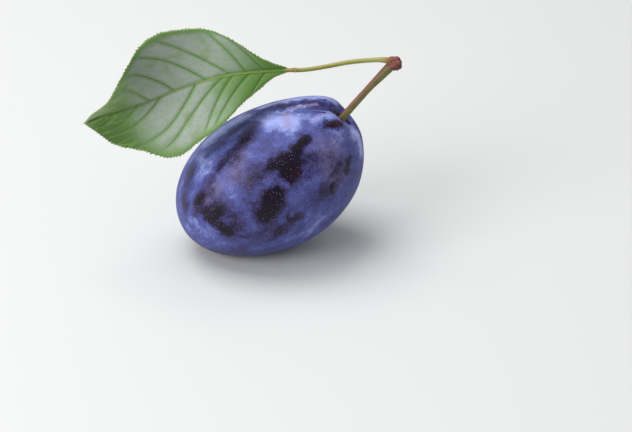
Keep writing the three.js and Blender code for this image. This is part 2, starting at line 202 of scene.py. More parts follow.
def srgb(red, green, blue):
    """A colour written as 0 to 255, as Blender's linear values."""
    linear = []
    for value in (red, green, blue):
        part = value / 255
        linear.append(part / 12.92 if part <= 0.04045 else ((part + 0.055) / 1.055) ** 2.4)
    return tuple(linear)


def length(name, default, description):
    """A size setting, kept in metres."""
    return FloatProperty(name=name, default=default * MM, min=0, unit="LENGTH", subtype="DISTANCE",
                         precision=5, description=description)


def colour(name, default, description):
    """A colour setting."""
    return FloatVectorProperty(name=name, default=srgb(*default), size=3, min=0, max=1,
                               subtype="COLOR", description=description)


def share(name, default, description):
    """A setting from 0 to 1."""
    return FloatProperty(name=name, default=default, min=0, max=1, subtype="FACTOR",
                         description=description)


class FruitSettings(bpy.types.PropertyGroup):
    """Sizes and colours of the fruit."""

    half_length: length("Half length", 24.8, "From the middle to either end of the long axis")
    suture_radius: length("Suture radius", 14.9, "From the long axis to the skin, at the suture")
    back_radius: length("Back radius", 19.3, "From the long axis to the skin, opposite the suture")
    side_radius: length("Side radius", 18.3, "From the long axis to the skin, at either side")
    groove_depth: length("Groove depth", 1.9, "Depth of the suture beside the stalk")
    groove_width: length("Groove width", 2.1, "Half width of the suture")
    cavity_depth: length("Cavity depth", 4.8, "Depth of the funnel that the stalk stands in")
    cavity_radius: length("Cavity radius", 3, "Radius of the funnel")
    segments: IntProperty(name="Segments", default=288, min=16, description="Faces round the fruit")
    rings: IntProperty(name="Rings", default=176, min=8, description="Faces from end to end")
    bloom: share("Bloom", 0.6, "How much wax lies on the skin")
    skin_colour: colour("Skin", (15, 7, 27), "Bare skin")
    red_skin_colour: colour("Red skin", (70, 22, 30), "Bare skin beside the stalk")
    thin_bloom_colour: colour("Thin bloom", (50, 43, 86), "Skin that shows through the wax")
    bloom_colour: colour("Bloom colour", (78, 84, 148), "Wax of usual thickness")
    thick_bloom_colour: colour("Thick bloom", (158, 168, 228), "Wax at its thickest")
    pink_bloom_colour: colour("Pink bloom", (142, 124, 152), "Wax over reddish skin")
    lenticel_radius: length("Lenticel radius", 0.095, "Size of the breathing pores on the skin")
    lenticel_spacing: length("Lenticel spacing", 0.66, "Least distance between two pores")
    lenticel_colour: colour("Lenticels", (146, 98, 112), "Colour of the breathing pores")


class StemSettings(bpy.types.PropertyGroup):
    """Sizes and colours of both stems and of the knob that they grow from."""

    stalk_radius: length("Stalk radius", 0.84, "Radius of the fruit's stalk at its middle")
    stalk_foot_radius: length("Stalk foot radius", 1.05, "Radius where it stands in the fruit")
    stalk_head_radius: length("Stalk head radius", 1.15, "Radius where it grows from the knob")
    leaf_stalk_radius: length("Leaf stalk radius", 0.6, "Radius of the leaf's stalk")
    leaf_stalk_foot_radius: length("Leaf stalk foot radius", 0.84, "Radius at the knob")
    gland_height: length("Gland height", 0.3, "How far the nectar glands stand out below the blade")
    stalk_green: colour("Stalk green", (98, 104, 48), "Shaded side of the stalk")
    stalk_brown: colour("Stalk brown", (114, 74, 52), "Sunny side of the stalk")
    leaf_stalk_colour: colour("Leaf stalk", (158, 162, 88), "Leaf stalk along its middle")
    joint_colour: colour("Joints", (150, 92, 50), "Both ends of the leaf stalk")
    bark_colour: colour("Bark", (142, 84, 72), "Knob on its ridges")
    dark_bark_colour: colour("Dark bark", (80, 44, 38), "Knob between its ridges")


class LeafSettings(bpy.types.PropertyGroup):
    """Sizes and colours of the leaf."""

    half_width: length("Half width", 14.1, "From the midrib to the edge at the widest place")
    thickness: length("Thickness", 0.34, "Thickness of the blade between its veins")
    teeth: IntProperty(name="Teeth", default=78, min=1, description="Teeth along each edge")
    tooth_height: length("Tooth height", 0.52, "How far a tooth stands out")
    vein_depth: length("Vein depth", 0.13, "How deep the side veins lie in the upper face")
    quilting: length("Quilting", 0.12, "How far the blade bulges between its veins")
    vein_radius: length("Vein radius", 0.24, "Radius of the side veins below, at the midrib")
    blade_colour: colour("Blade", (112, 144, 80), "Upper face")
    # The sheen colour is a painted reflection of the light above, laid between the veins.
    sheen_colour: colour("Sheen", (158, 168, 158), "Wax on the upper face between the veins")
    vein_colour: colour("Veins", (78, 116, 54), "Side veins from above")
    midrib_colour: colour("Midrib", (122, 150, 58), "Midrib from above")
    under_colour: colour("Underside", (146, 174, 112), "Lower face")


class StageSettings(bpy.types.PropertyGroup):
    """Camera, light and floor."""

    target: FloatVectorProperty(name="Camera target", default=(16.87 * MM, 0, 7.53 * MM), size=3,
                                unit="LENGTH", subtype="XYZ", precision=5,
                                description="Point in the middle of the picture")
    elevation: FloatProperty(name="Elevation", default=math.radians(30), unit="ROTATION",
                             subtype="ANGLE", description="Camera above the horizon")
    distance: length("Camera distance", 428, "From the camera to its target")
    focal_length: FloatProperty(name="Focal length", default=100, min=1, unit="CAMERA",
                                description="Lens in millimetres, on a 36 mm sensor")
    floor_size: length("Floor size", 4000, "Side of the floor")
    floor_colour: colour("Floor", (225, 225, 224), "Plain pale floor")
    sky_strength: FloatProperty(name="Surroundings", default=0.42, min=0,
                                description="Brightness of the white room")
    key_power: FloatProperty(name="Top light", default=6.4, min=0, unit="POWER",
                             description="Large soft light above, a little behind on the left")
    rim_power: FloatProperty(name="Left light", default=4.2, min=0, unit="POWER",
                             description="Soft light low on the left")


def feed(value, socket):
    """Gives a socket a field's link, or a plain value."""
    if isinstance(value, Field):
        value.tree.links.new(value.socket, socket)
    else:
        socket.default_value = value


def math_field(tree, operation, *values):
    """A Math node on fields or plain numbers."""
    node = tree.nodes.new("ShaderNodeMath")
    node.operation = operation
    for socket, value in zip(node.inputs, values):
        feed(value, socket)
    return Field(tree, node.outputs[0])


def vector_field(operation, *values, output="Vector"):
    """A Vector Math node on a field and other fields or plain vectors."""
    tree = values[0].tree
    node = tree.nodes.new("ShaderNodeVectorMath")
    node.operation = operation
    for socket, value in zip(node.inputs, values):
        feed(value, socket)
    return Field(tree, node.outputs[output])


class Field:
    """A number or vector inside a node tree, so that a formula reads as a formula."""

    def __init__(self, tree, socket):
        self.tree = tree
        self.socket = socket

    def __add__(self, other):
        return math_field(self.tree, "ADD", self, other)

    def __radd__(self, other):
        return math_field(self.tree, "ADD", other, self)

    def __sub__(self, other):
        return math_field(self.tree, "SUBTRACT", self, other)

    def __rsub__(self, other):
        return math_field(self.tree, "SUBTRACT", other, self)

    def __mul__(self, other):
        return math_field(self.tree, "MULTIPLY", self, other)

    def __rmul__(self, other):
        return math_field(self.tree, "MULTIPLY", other, self)

    def __truediv__(self, other):
        return math_field(self.tree, "DIVIDE", self, other)

    def __rtruediv__(self, other):
        return math_field(self.tree, "DIVIDE", other, self)

    def __pow__(self, other):
        return math_field(self.tree, "POWER", self, other)

    def apply(self, operation, *others):
        """Any other operation of the Math node, such as SINE or MAXIMUM."""
        return math_field(self.tree, operation, self, *others)

    def at_least(self, other):
        """The larger of the two."""
        return self.apply("MAXIMUM", other)

    def at_most(self, other):
        """The smaller of the two."""
        return self.apply("MINIMUM", other)

    def parts(self):
        """The X, Y and Z of a vector."""
        node = self.tree.nodes.new("ShaderNodeSeparateXYZ")
        self.tree.links.new(self.socket, node.inputs[0])
        return [Field(self.tree, output) for output in node.outputs]

    def smooth(self, low, high):
        """0 below low, 1 above high and a smooth step between them."""
        node = self.tree.nodes.new("ShaderNodeMapRange")
        node.interpolation_type = "SMOOTHSTEP"
        for name, value in (("Value", self), ("From Min", low), ("From Max", high)):
            feed(value, node.inputs[name])
        return Field(self.tree, node.outputs["Result"])

    def bell(self, width):
        """1 where the field is 0, falling to nothing at about twice the width."""
        ratio = self / width
        return (ratio * ratio * -1).apply("EXPONENT")


def between(low, high, part):
    """A number between two others."""
    return low + (high - low) * part


def join_vector(*parts):
    """A vector from its X, Y and Z."""
    tree = parts[0].tree
    node = tree.nodes.new("ShaderNodeCombineXYZ")
    for socket, value in zip(node.inputs, parts):
        feed(value, socket)
    return Field(tree, node.outputs[0])


def noise(place, size, detail=3.0, roughness=0.55):
    """Soft noise from 0 to 1, with lumps of about the given size."""
    node = place.tree.nodes.new("ShaderNodeTexNoise")
    feed(place, node.inputs["Vector"])
    node.inputs["Scale"].default_value = 1 / size
    node.inputs["Detail"].default_value = detail
    node.inputs["Roughness"].default_value = roughness
    return Field(place.tree, node.outputs[0])


def out(node, name=None):
    """A node's named output, or its first."""
    tree = node.id_data
    return Field(tree, node.outputs[name] if name else node.outputs[0])


class GeometryTree:
    """A geometry node tree with named inputs."""

    def __init__(self, name, has_source):
        self.tree = bpy.data.node_groups.new(name, "GeometryNodeTree")
        for way in ("OUTPUT", "INPUT") if has_source else ("OUTPUT",):
            self.tree.interface.new_socket("Geometry", in_out=way, socket_type="NodeSocketGeometry")
        self.entry = self.tree.nodes.new("NodeGroupInput")

    def inputs(self, **defaults):
        """Named inputs with defaults: whole numbers, numbers, or None for a material."""
        fields = []
        for name, default in defaults.items():
            label = name.replace("_", " ")
            kind = "NodeSocket" + {int: "Int", float: "Float"}.get(type(default), "Material")
            socket = self.tree.interface.new_socket(label, in_out="INPUT", socket_type=kind)
            if default is not None:
                socket.default_value = default
            fields.append(Field(self.tree, self.entry.outputs[label]))
        return fields

    def source(self):
        """The mesh that the tree works on."""
        return Field(self.tree, self.entry.outputs["Geometry"])

    def node(self, kind, settings=None, **values):
        """A node with its settings and named inputs. A blank in a name is an underscore."""
        node = self.tree.nodes.new(kind)
        for name, value in (settings or {}).items():
            setattr(node, name, value)
        for name, value in values.items():
            wanted = name.replace("_", " ")
            feed(value, next(s for s in node.inputs if s.name == wanted and s.enabled))
        return node

    def run(self, kind, settings=None, **values):
        """The first output of a geometry node."""
        return out(self.node("GeometryNode" + kind, settings, **values))

    def store(self, geometry, name, value):
        """Keeps a number on every point, for the material."""
        settings = {"data_type": "FLOAT", "domain": "POINT"}
        return self.run("StoreNamedAttribute", settings, Geometry=geometry,
                             Name=name, Value=value)

    def stored(self, name):
        """A number that was kept on the points."""
        return self.run("InputNamedAttribute", {"data_type": "FLOAT"}, Name=name)

    def finish(self, geometry, material):
        """Smooth shading, real faces instead of instances, and the material."""
        geometry = self.run("RealizeInstances", Geometry=geometry)
        geometry = self.run("SetShadeSmooth", Geometry=geometry)
        geometry = self.run("SetMaterial", Geometry=geometry, Material=material)
        leave = self.tree.nodes.new("NodeGroupOutput")
        self.tree.links.new(geometry.socket, leave.inputs[0])
        return self.tree


def forget(name):
    """Removes an earlier object of this name, so that an operator can run again."""
    old = bpy.data.objects.get(name)
    if old:
        bpy.data.objects.remove(old)


def add_object(name, data):
    """A new object at the origin, in the scene's collection."""
    forget(name)
    piece = bpy.data.objects.new(name, data)
    bpy.context.scene.collection.objects.link(piece)
    return piece


def close_mesh(mesh):
    """Merges doubled points and turns every face outwards."""
    shape = bmesh.new()
    shape.from_mesh(mesh)
    bmesh.ops.remove_doubles(shape, verts=shape.verts, dist=MERGE_DISTANCE)
    bmesh.ops.recalc_face_normals(shape, faces=shape.faces)
    shape.to_mesh(mesh)
    shape.free()


def grow(name, tree, values, source=None):
    """Runs a geometry node tree on a carrier and keeps what it makes as a plain mesh object."""
    carrier = add_object(name + "_carrier", source or bpy.data.meshes.new(name + "_carrier"))
    modifier = carrier.modifiers.new("Form", "NODES")
    modifier.node_group = tree
    for item in tree.interface.items_tree:
        if item.item_type == "SOCKET" and item.in_out == "INPUT" and item.name in values:
            modifier[item.identifier] = values[item.name]
    bpy.context.view_layer.update()
    graph = bpy.context.evaluated_depsgraph_get()
    grown = carrier.evaluated_get(graph)
    mesh = bpy.data.meshes.new_from_object(grown, preserve_all_data_layers=True, depsgraph=graph)
    carrier.modifiers.remove(modifier)
    bpy.data.objects.remove(carrier)
    if not mesh.polygons:
        raise RuntimeError(f"{name} came out empty")
    material = mesh.materials[mesh.polygons[0].material_index]
    mesh.materials.clear()
    mesh.materials.append(material)
    mesh.polygons.foreach_set("material_index", [0] * len(mesh.polygons))
    close_mesh(mesh)
    mesh.name = name
    return add_object(name, mesh)


def place_piece(piece, slot, *nodes):
    """Lets a piece ride on the body, in the place of its CAD nodes. The slot is not used."""
    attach(piece, BODY)
    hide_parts(*nodes)


def path_mesh(name, routes):
    """Points joined by edges, one chain for each route, in metres."""
    points = []
    edges = []
    for route in routes:
        first = len(points)
        points.extend(Vector(point) * MM for point in route)
        edges.extend((first + step, first + step + 1) for step in range(len(route) - 1))
    mesh = bpy.data.meshes.new(name)
    mesh.from_pydata(points, edges, [])
    return mesh


def bend(start, end, leave, arrive, t):
    """A place on the curve from start to end that leaves and arrives with the given slopes."""
    square = t * t
    cube = square * t
    return (start * (2 * cube - 3 * square + 1) + end * (3 * square - 2 * cube)
            + leave * (cube - 2 * square + t) + arrive * (cube - square))


class Route:
    """A smooth path through points. Places on it are shares of its length, from 0 to 1."""

    def __init__(self, points, steps=60):
        knots = [Vector(point) for point in points]
        knots = [2 * knots[0] - knots[1], *knots, 2 * knots[-1] - knots[-2]]
        self.points = []
        for at in range(len(knots) - 3):
            self.points.extend(self.stretch(*knots[at:at + 4], steps))
        self.points.append(knots[-2].copy())
        self.lengths = [0.0]
        for a, b in zip(self.points, self.points[1:]):
            self.lengths.append(self.lengths[-1] + (b - a).length)
        self.length = self.lengths[-1]

    @staticmethod
    def stretch(before, start, end, after, steps):
        """The stretch between two points, shaped by their neighbours."""
        gaps = [math.sqrt((b - a).length) for a, b in ((before, start), (start, end), (end, after))]
        span = (end - start) / gaps[1]
        leave = ((start - before) / gaps[0] - (end - before) / (gaps[0] + gaps[1]) + span) * gaps[1]
        arrive = (span - (after - start) / (gaps[1] + gaps[2]) + (after - end) / gaps[2]) * gaps[1]
        return [bend(start, end, leave, arrive, step / steps) for step in range(steps)]

    def at(self, place):
        """The point at a share of the length, and the direction there."""
        wanted = min(max(place, 0), 1) * self.length
        low, high = 0, len(self.lengths) - 1
        while high - low > 1:
            middle = (low + high) // 2
            if self.lengths[middle] <= wanted:
                low = middle
            else:
                high = middle
        part = (wanted - self.lengths[low]) / (self.lengths[high] - self.lengths[low])
        before = self.points[max(low - 1, 0)]
        after = self.points[min(high + 1, len(self.points) - 1)]
        return self.points[low].lerp(self.points[high], part), (after - before).normalized()


def fruit_axes():
    """Unit vectors: along the fruit to its stalk, from its middle to the suture, across both."""
    lean, heading = FRUIT_LEAN, FRUIT_HEADING
    long_axis = Vector((math.cos(lean) * math.cos(heading), math.cos(lean) * math.sin(heading),
                        math.sin(lean)))
    level = Vector((math.sin(heading), -math.cos(heading), 0))
    suture = level.cross(long_axis) * math.cos(FRUIT_ROLL) + level * math.sin(FRUIT_ROLL)
    return long_axis, suture, long_axis.cross(suture)


def fruit_tree():
    """The fruit's skin: oval, grooved, dimpled at the stalk and flat where it rests."""
    made = GeometryTree("Plum skin", has_source=False)
    tree = made.tree
    segments, rings = made.inputs(Segments=64, Rings=32)
    half_length, suture_radius, back_radius, side_radius = made.inputs(
        Half_length=0.025, Suture_radius=0.015, Back_radius=0.019, Side_radius=0.018)
    groove_depth, groove_width, cavity_depth, cavity_radius, material = made.inputs(
        Groove_depth=0.002, Groove_width=0.002, Cavity_depth=0.005, Cavity_radius=0.003,
        Material=None)

    ball = made.run("MeshUVSphere", Segments=segments, Rings=rings, Radius=1.0)
    ball_x, ball_y, along = made.run("InputPosition").parts()
    girth = (ball_x * ball_x + ball_y * ball_y).apply("SQRT")
    facing = ball_x / girth
    turned = ball_y / girth
    polar = along.apply("ARCCOSINE")

    # The oval, fuller at its back than at its suture.
    squareness = 1.93
    fullness = (1 - along.apply("ABSOLUTE") ** squareness) ** (1 / squareness)
    depth = between(back_radius, suture_radius, facing.apply("GREATER_THAN", 0.0))
    section = 1 / ((facing / depth) ** 2.0 + (turned / side_radius) ** 2.0).apply("SQRT")
    taper = between(0.13, -0.2, 0.5 + 0.5 * facing)
    radius = fullness * section * (1 + taper * along)

    # The suture with a lobe on either side, deepest beside the stalk and a faint line further on.
    offset = radius * turned
    strength = ((polar / math.radians(62)) ** 2.6 * -1).apply("EXPONENT")
    groove = (groove_depth * strength + 0.14 * MM * girth) * offset.bell(groove_width)
    crease = 0.25 * MM * strength * offset.bell(0.4 * MM)
    rise = between(0.7 * MM, 0.1 * MM, offset.apply("GREATER_THAN", 0.0))
    lobe = rise * strength * (offset.apply("ABSOLUTE") - 5 * MM).bell(3 * MM)
    faces_suture = facing.smooth(0.0, 0.5) * radius.smooth(0.0, 6 * MM)
    radius = radius + faces_suture * (lobe - groove - crease)

    # The cavity with its rim and creases, the collar round the stalk, and the blossom end.
    towards = radius * facing
    across = radius * turned
    from_stalk = (towards ** 2.0 + (across - 0.8 * MM) ** 2.0).apply("SQRT")
    creases = (turned.apply("ARCTAN2", facing) * 9.0).apply("SINE")
    funnel = cavity_depth * from_stalk.bell(cavity_radius)
    collar = 0.35 * MM * (from_stalk - 1.3 * MM).bell(0.45 * MM)
    wrinkles = 0.07 * MM * creases * (from_stalk - 3.2 * MM).bell(1.4 * MM)
    rim = 0.25 * MM * (radius - 6 * MM).bell(2.5 * MM)
    stalk_end = rim - funnel + collar + wrinkles
    blossom_end = 0.4 * MM * radius.bell(4.5 * MM) - 0.5 * MM * radius.bell(2.2 * MM)
    height = half_length * along + between(blossom_end, stalk_end, along.apply("GREATER_THAN", 0.0))

    long_axis, suture, side = fruit_axes()
    place = Vector(FRUIT_CENTRE) * MM
    laid = [middle + a * height + b * towards + c * across
            for middle, a, b, c in zip(place, long_axis, suture, side)]
    soft = noise(join_vector(*laid), 9 * MM, detail=1.0)
    swell = 0.994 + 0.01 * soft
    laid = [place[i] + (laid[i] - place[i]) * swell for i in range(3)]
    laid[2] = laid[2].at_least(0.0)

    near_stalk = between(40 * MM, from_stalk, along.apply("GREATER_THAN", 0.0))
    skin = made.store(ball, "from_stalk", near_stalk / MM)
    skin = made.store(skin, "across_suture", across / MM)
    skin = made.store(skin, "faces_suture", faces_suture * strength)
    skin = made.run("SetPosition", Geometry=skin, Position=join_vector(*laid))
    return made.finish(skin, material)


def lenticel_tree():
    """Breathing pores strewn over the skin: tiny flat domes."""
    made = GeometryTree("Lenticels", has_source=True)
    spacing, radius, seed, material = made.inputs(
        Spacing=0.001, Radius=0.0001, Seed=LENTICEL_SEED, Material=None)

    place = made.run("InputPosition")
    height = place.parts()[2]
    crowd = noise(place, 2.2 * MM, detail=4.0).smooth(0.34, 0.58)
    strewn = made.node("GeometryNodeDistributePointsOnFaces", {"distribute_method": "POISSON"},
                       Mesh=made.source(), Selection=height.apply("GREATER_THAN", 0.8 * MM),
                       Distance_Min=spacing, Density_Max=3e6, Density_Factor=crowd, Seed=seed)
    dome = made.run("MeshUVSphere", Segments=7, Rings=4, Radius=radius)
    dome = made.run("Transform", Geometry=dome, Scale=(1, 1, 0.3))
    chance = made.node("FunctionNodeRandomValue", {"data_type": "FLOAT"}, Min=0.45, Max=1.25,
                       Seed=seed)
    size = Field(made.tree, next(s for s in chance.outputs if s.enabled))
    pores = made.run("InstanceOnPoints", Points=out(strewn, "Points"), Instance=dome,
                          Rotation=out(strewn, "Rotation"), Scale=join_vector(size, size, size))
    return made.finish(pores, material)


def stem_tree():
    """A round stem along each path, swollen at its ends, with ribs, bumps, a channel and glands."""
    made = GeometryTree("Stem along a path", has_source=True)
    tree = made.tree
    sides, steps, radius, foot_radius, foot_length, head_radius, head_from = made.inputs(
        Sides=16, Steps=40, Radius=0.0008, Foot_radius=0.001, Foot_length=0.1, Head_radius=0.001,
        Head_from=0.6)
    ribs, rib_height, bump_height, channel_depth = made.inputs(
        Ribs=0.0, Rib_height=0.0, Bump_height=0.0, Channel_depth=0.0)
    gland_height, gland_place, gland_length, material = made.inputs(
        Gland_height=0.0, Gland_place=0.9, Gland_length=0.03, Material=None)

    path = made.run("MeshToCurve", Mesh=made.source())
    path = made.run("ResampleCurve", Curve=path, Count=steps)
    along = made.run("SplineParameter")
    path = made.store(path, "along", along)
    path = made.run("SetCurveNormal", {"mode": "Z_UP"}, Curve=path)
    foot = (foot_radius - radius) * along.bell(foot_length)
    head = (head_radius - radius) * along.smooth(head_from, 1.0)
    path = made.store(path, "swelling", radius + foot + head)

    ring = made.run("CurvePrimitiveCircle", Resolution=sides, Radius=1.0)
    turn = made.run("SplineParameter") * math.tau
    ring = made.store(ring, "upward", turn.apply("SINE") * -1)
    ring = made.store(ring, "sideward", turn.apply("COSINE"))
    skin = made.run("CurveToMesh", Curve=path, Profile_Curve=ring, Fill_Caps=True,
                         Scale=made.stored("swelling"))

    at = made.stored("along")
    upward = made.stored("upward")
    sideward = made.stored("sideward")
    place = made.run("InputPosition")
    rib = rib_height * (upward.apply("ARCTAN2", sideward) * ribs + at * 5).apply("SINE")
    bump = bump_height * (noise(place, 0.7 * MM, detail=3.0) - 0.5) * 2
    channel = channel_depth * upward.smooth(0.55, 1.0)
    gland = gland_height * sideward.apply("ABSOLUTE") ** 3.0 * (at - gland_place).bell(gland_length)
    outward = made.run("InputNormal")
    lift = join_vector(*[part * (rib + bump + gland - channel) for part in outward.parts()])
    skin = made.run("SetPosition", Geometry=skin, Offset=lift)
    return made.finish(skin, material)


def knob_tree():
    """The woody knob of the spur: a squarish lump with ridges, bark rings and a torn face."""
    made = GeometryTree("Woody knob", has_source=False)
    tree = made.tree
    segments, half_x, half_y, half_z, ridge, bark, material = made.inputs(
        Segments=96, Half_length=0.0018, Half_depth=0.0017, Half_height=0.00165, Ridge=0.09,
        Bark=0.00012, Material=None)

    ball = made.run("MeshUVSphere", Segments=segments, Rings=64, Radius=1.0)
    ball_x, ball_y, axial = made.run("InputPosition").parts()
    girth = (ball_x * ball_x + ball_y * ball_y).apply("SQRT")
    facing = ball_x / girth
    turned = ball_y / girth
    turn = turned.apply("ARCTAN2", facing)

    def squared(value):
        return value.apply("SIGN") * value.apply("ABSOLUTE") ** (2 / 3.4)

    ridged = 1 + ridge * girth * (turn * 5 + 2 * axial).apply("SINE")
    fine = 1 + 0.02 * girth * (turn * 17 + 5 * axial).apply("SINE")
    round_it = ridged * fine * squared(girth)
    pinch = 1 + 0.1 * (turn * 2).apply("COSINE") * girth
    shape = [half_x * squared(axial) * pinch, half_y * round_it * squared(facing),
             half_z * round_it * squared(turned)]
    place = [KNOB_CENTRE[i] * MM + shape[i] for i in range(3)]
    crust = noise(join_vector(*place), 0.7 * MM, detail=5.0, roughness=0.65)
    lumps = noise(join_vector(*place), 1.6 * MM, detail=1.0)
    torn = axial.smooth(0.72, 0.86) * (1 - girth.smooth(0.35, 0.7)) * 0.12 * MM
    scale = 1 + ((crust - 0.62) * 2 + (lumps - 0.6) * 3) * bark / (1.7 * MM)
    place = [KNOB_CENTRE[i] * MM + shape[i] * scale for i in range(3)]
    place[0] = place[0] - torn
    skin = made.store(ball, "crust", crust)
    skin = made.store(skin, "ridge", ridged - 1)
    skin = made.store(skin, "torn_face", axial.smooth(0.7, 0.85))
    skin = made.run("SetPosition", Geometry=skin, Position=join_vector(*place))
    return made.finish(skin, material)


def new_material(name, roughness):
    """An empty material with one Principled shader."""
    old = bpy.data.materials.get(name)
    if old:
        bpy.data.materials.remove(old)
    material = bpy.data.materials.new(name)
    material.use_nodes = True
    tree = material.node_tree
    tree.nodes.clear()
    shader = tree.nodes.new("ShaderNodeBsdfPrincipled")
    shader.inputs["Roughness"].default_value = roughness
    leave = tree.nodes.new("ShaderNodeOutputMaterial")
    tree.links.new(shader.outputs[0], leave.inputs[0])
    return material, tree, shader


def place_in_mm(tree):
    """Object coordinates, in millimetres."""
    where = Field(tree, tree.nodes.new("ShaderNodeTexCoord").outputs["Object"])
    place = vector_field("SCALE", where)
    place.socket.node.inputs["Scale"].default_value = 1 / MM
    return place


def stretched(place, axis, by):
    """A place squeezed along one axis, so that a pattern on it is drawn out that way."""
    along = vector_field("DOT_PRODUCT", place, tuple(axis), output="Value")
    less = join_vector(*[along * (part * (1 / by - 1)) for part in axis])
    return vector_field("ADD", place, less)


def attribute(tree, name):
    """A number kept on the mesh."""
    node = tree.nodes.new("ShaderNodeAttribute")
    node.attribute_name = name
    return Field(tree, node.outputs["Fac"])


def mix(part, first, second):
    """One colour or field over another."""
    tree = part.tree
    node = tree.nodes.new("ShaderNodeMix")
    node.data_type = "RGBA"
    feed(part, node.inputs[0])
    for socket, value in ((node.inputs[6], first), (node.inputs[7], second)):
        feed(value if isinstance(value, Field) else (*value, 1), socket)
    return Field(tree, node.outputs[2])


def cover_shader(shader, colour, roughness=None):
    """Gives the shader its colour, and its roughness where that isn't the same everywhere."""
    feed(colour, shader.inputs["Base Color"])
    if roughness is not None:
        feed(roughness, shader.inputs["Roughness"])


def add_bump(shader, height, distance, strength):
    """Fine relief on the shader's normal. distance is the height of a full step, in metres."""
    tree = height.tree
    node = tree.nodes.new("ShaderNodeBump")
    node.inputs["Strength"].default_value = strength
    node.inputs["Distance"].default_value = distance
    feed(height, node.inputs["Height"])
    tree.links.new(node.outputs[0], shader.inputs["Normal"])


def shader_group(name, vectors, numbers, output):
    """An empty shader node group: its tree, its inputs as fields, and the socket of its result."""
    tree = bpy.data.node_groups.new(name, "ShaderNodeTree")
    for kind, labels in (("NodeSocketVector", vectors), ("NodeSocketFloat", numbers)):
        for label in labels:
            tree.interface.new_socket(label, in_out="INPUT", socket_type=kind)
    tree.interface.new_socket(output, in_out="OUTPUT", socket_type="NodeSocketFloat")
    entry = tree.nodes.new("NodeGroupInput")
    given = {label: Field(tree, entry.outputs[label]) for label in (*vectors, *numbers)}
    return tree, given, tree.nodes.new("NodeGroupOutput").inputs[0]


def group_once(name, build, *parts):
    """The shader node group of this name, which is built when it is first asked for."""
    return bpy.data.node_groups.get(name) or build(*parts)


def use_group(tree, group, output, **values):
    """Places a shader node group in a tree. A blank in an input's name is an underscore."""
    node = tree.nodes.new("ShaderNodeGroup")
    node.node_tree = group
    for name, value in values.items():
        feed(value, node.inputs[name.replace("_", " ")])
    return Field(tree, node.outputs[output])


def stroke_group():
    """A soft stroke from a start to an end, 1 in its middle and 0 outside."""
    numbers = ("Half width", "Softness", "Strength")
    tree, given, result = shader_group("Soft stroke", ("Place", "Start", "End"), numbers, "Mask")
    run = vector_field("SUBTRACT", given["End"], given["Start"])
    reach = vector_field("SUBTRACT", given["Place"], given["Start"])
    passed = vector_field("DOT_PRODUCT", reach, run, output="Value")
    whole = vector_field("DOT_PRODUCT", run, run, output="Value")
    part = (passed / whole).at_least(0.0).at_most(1.0)
    spot = join_vector(*[axis * part for axis in run.parts()])
    away = vector_field("DISTANCE", reach, spot, output="Value") / given["Half width"]
    softness = given["Softness"]
    feed((1 - away.smooth(1 - softness, 1 + softness)) * given["Strength"], result)
    return tree


def speck_group():
    """Scattered specks of one size, in some of the cells of a grid that nothing lines up with."""
    tree, given, result = shader_group("Specks", ("Place",), ("Spacing", "Size", "Share"), "Mask")
    cells = tree.nodes.new("ShaderNodeTexVoronoi")
    feed(given["Place"], cells.inputs["Vector"])
    feed(1 / given["Spacing"], cells.inputs["Scale"])
    distance = Field(tree, cells.outputs["Distance"]) * given["Spacing"]
    chance, size, _ = Field(tree, cells.outputs["Color"]).parts()
    radius = given["Size"] * (0.5 + size)
    dot = 1 - (distance / radius).smooth(0.6, 1.1)
    feed(dot * chance.apply("LESS_THAN", given["Share"]), result)
    return tree


def speckled(specks, place, spacing, size, part):
    """Where small specks lie. part is how many of the places have one."""
    return use_group(place.tree, specks, "Mask", Place=place, Spacing=spacing, Size=size,
                     Share=part)


def strokes(stroke, place, marks, softness):
    """The strongest of several strokes at each place."""
    masks = [use_group(place.tree, stroke, "Mask", Place=place, Start=start, End=end,
                       Half_width=half_width, Softness=softness, Strength=strength)
             for start, end, half_width, strength in marks]
    return functools.reduce(Field.at_least, masks)


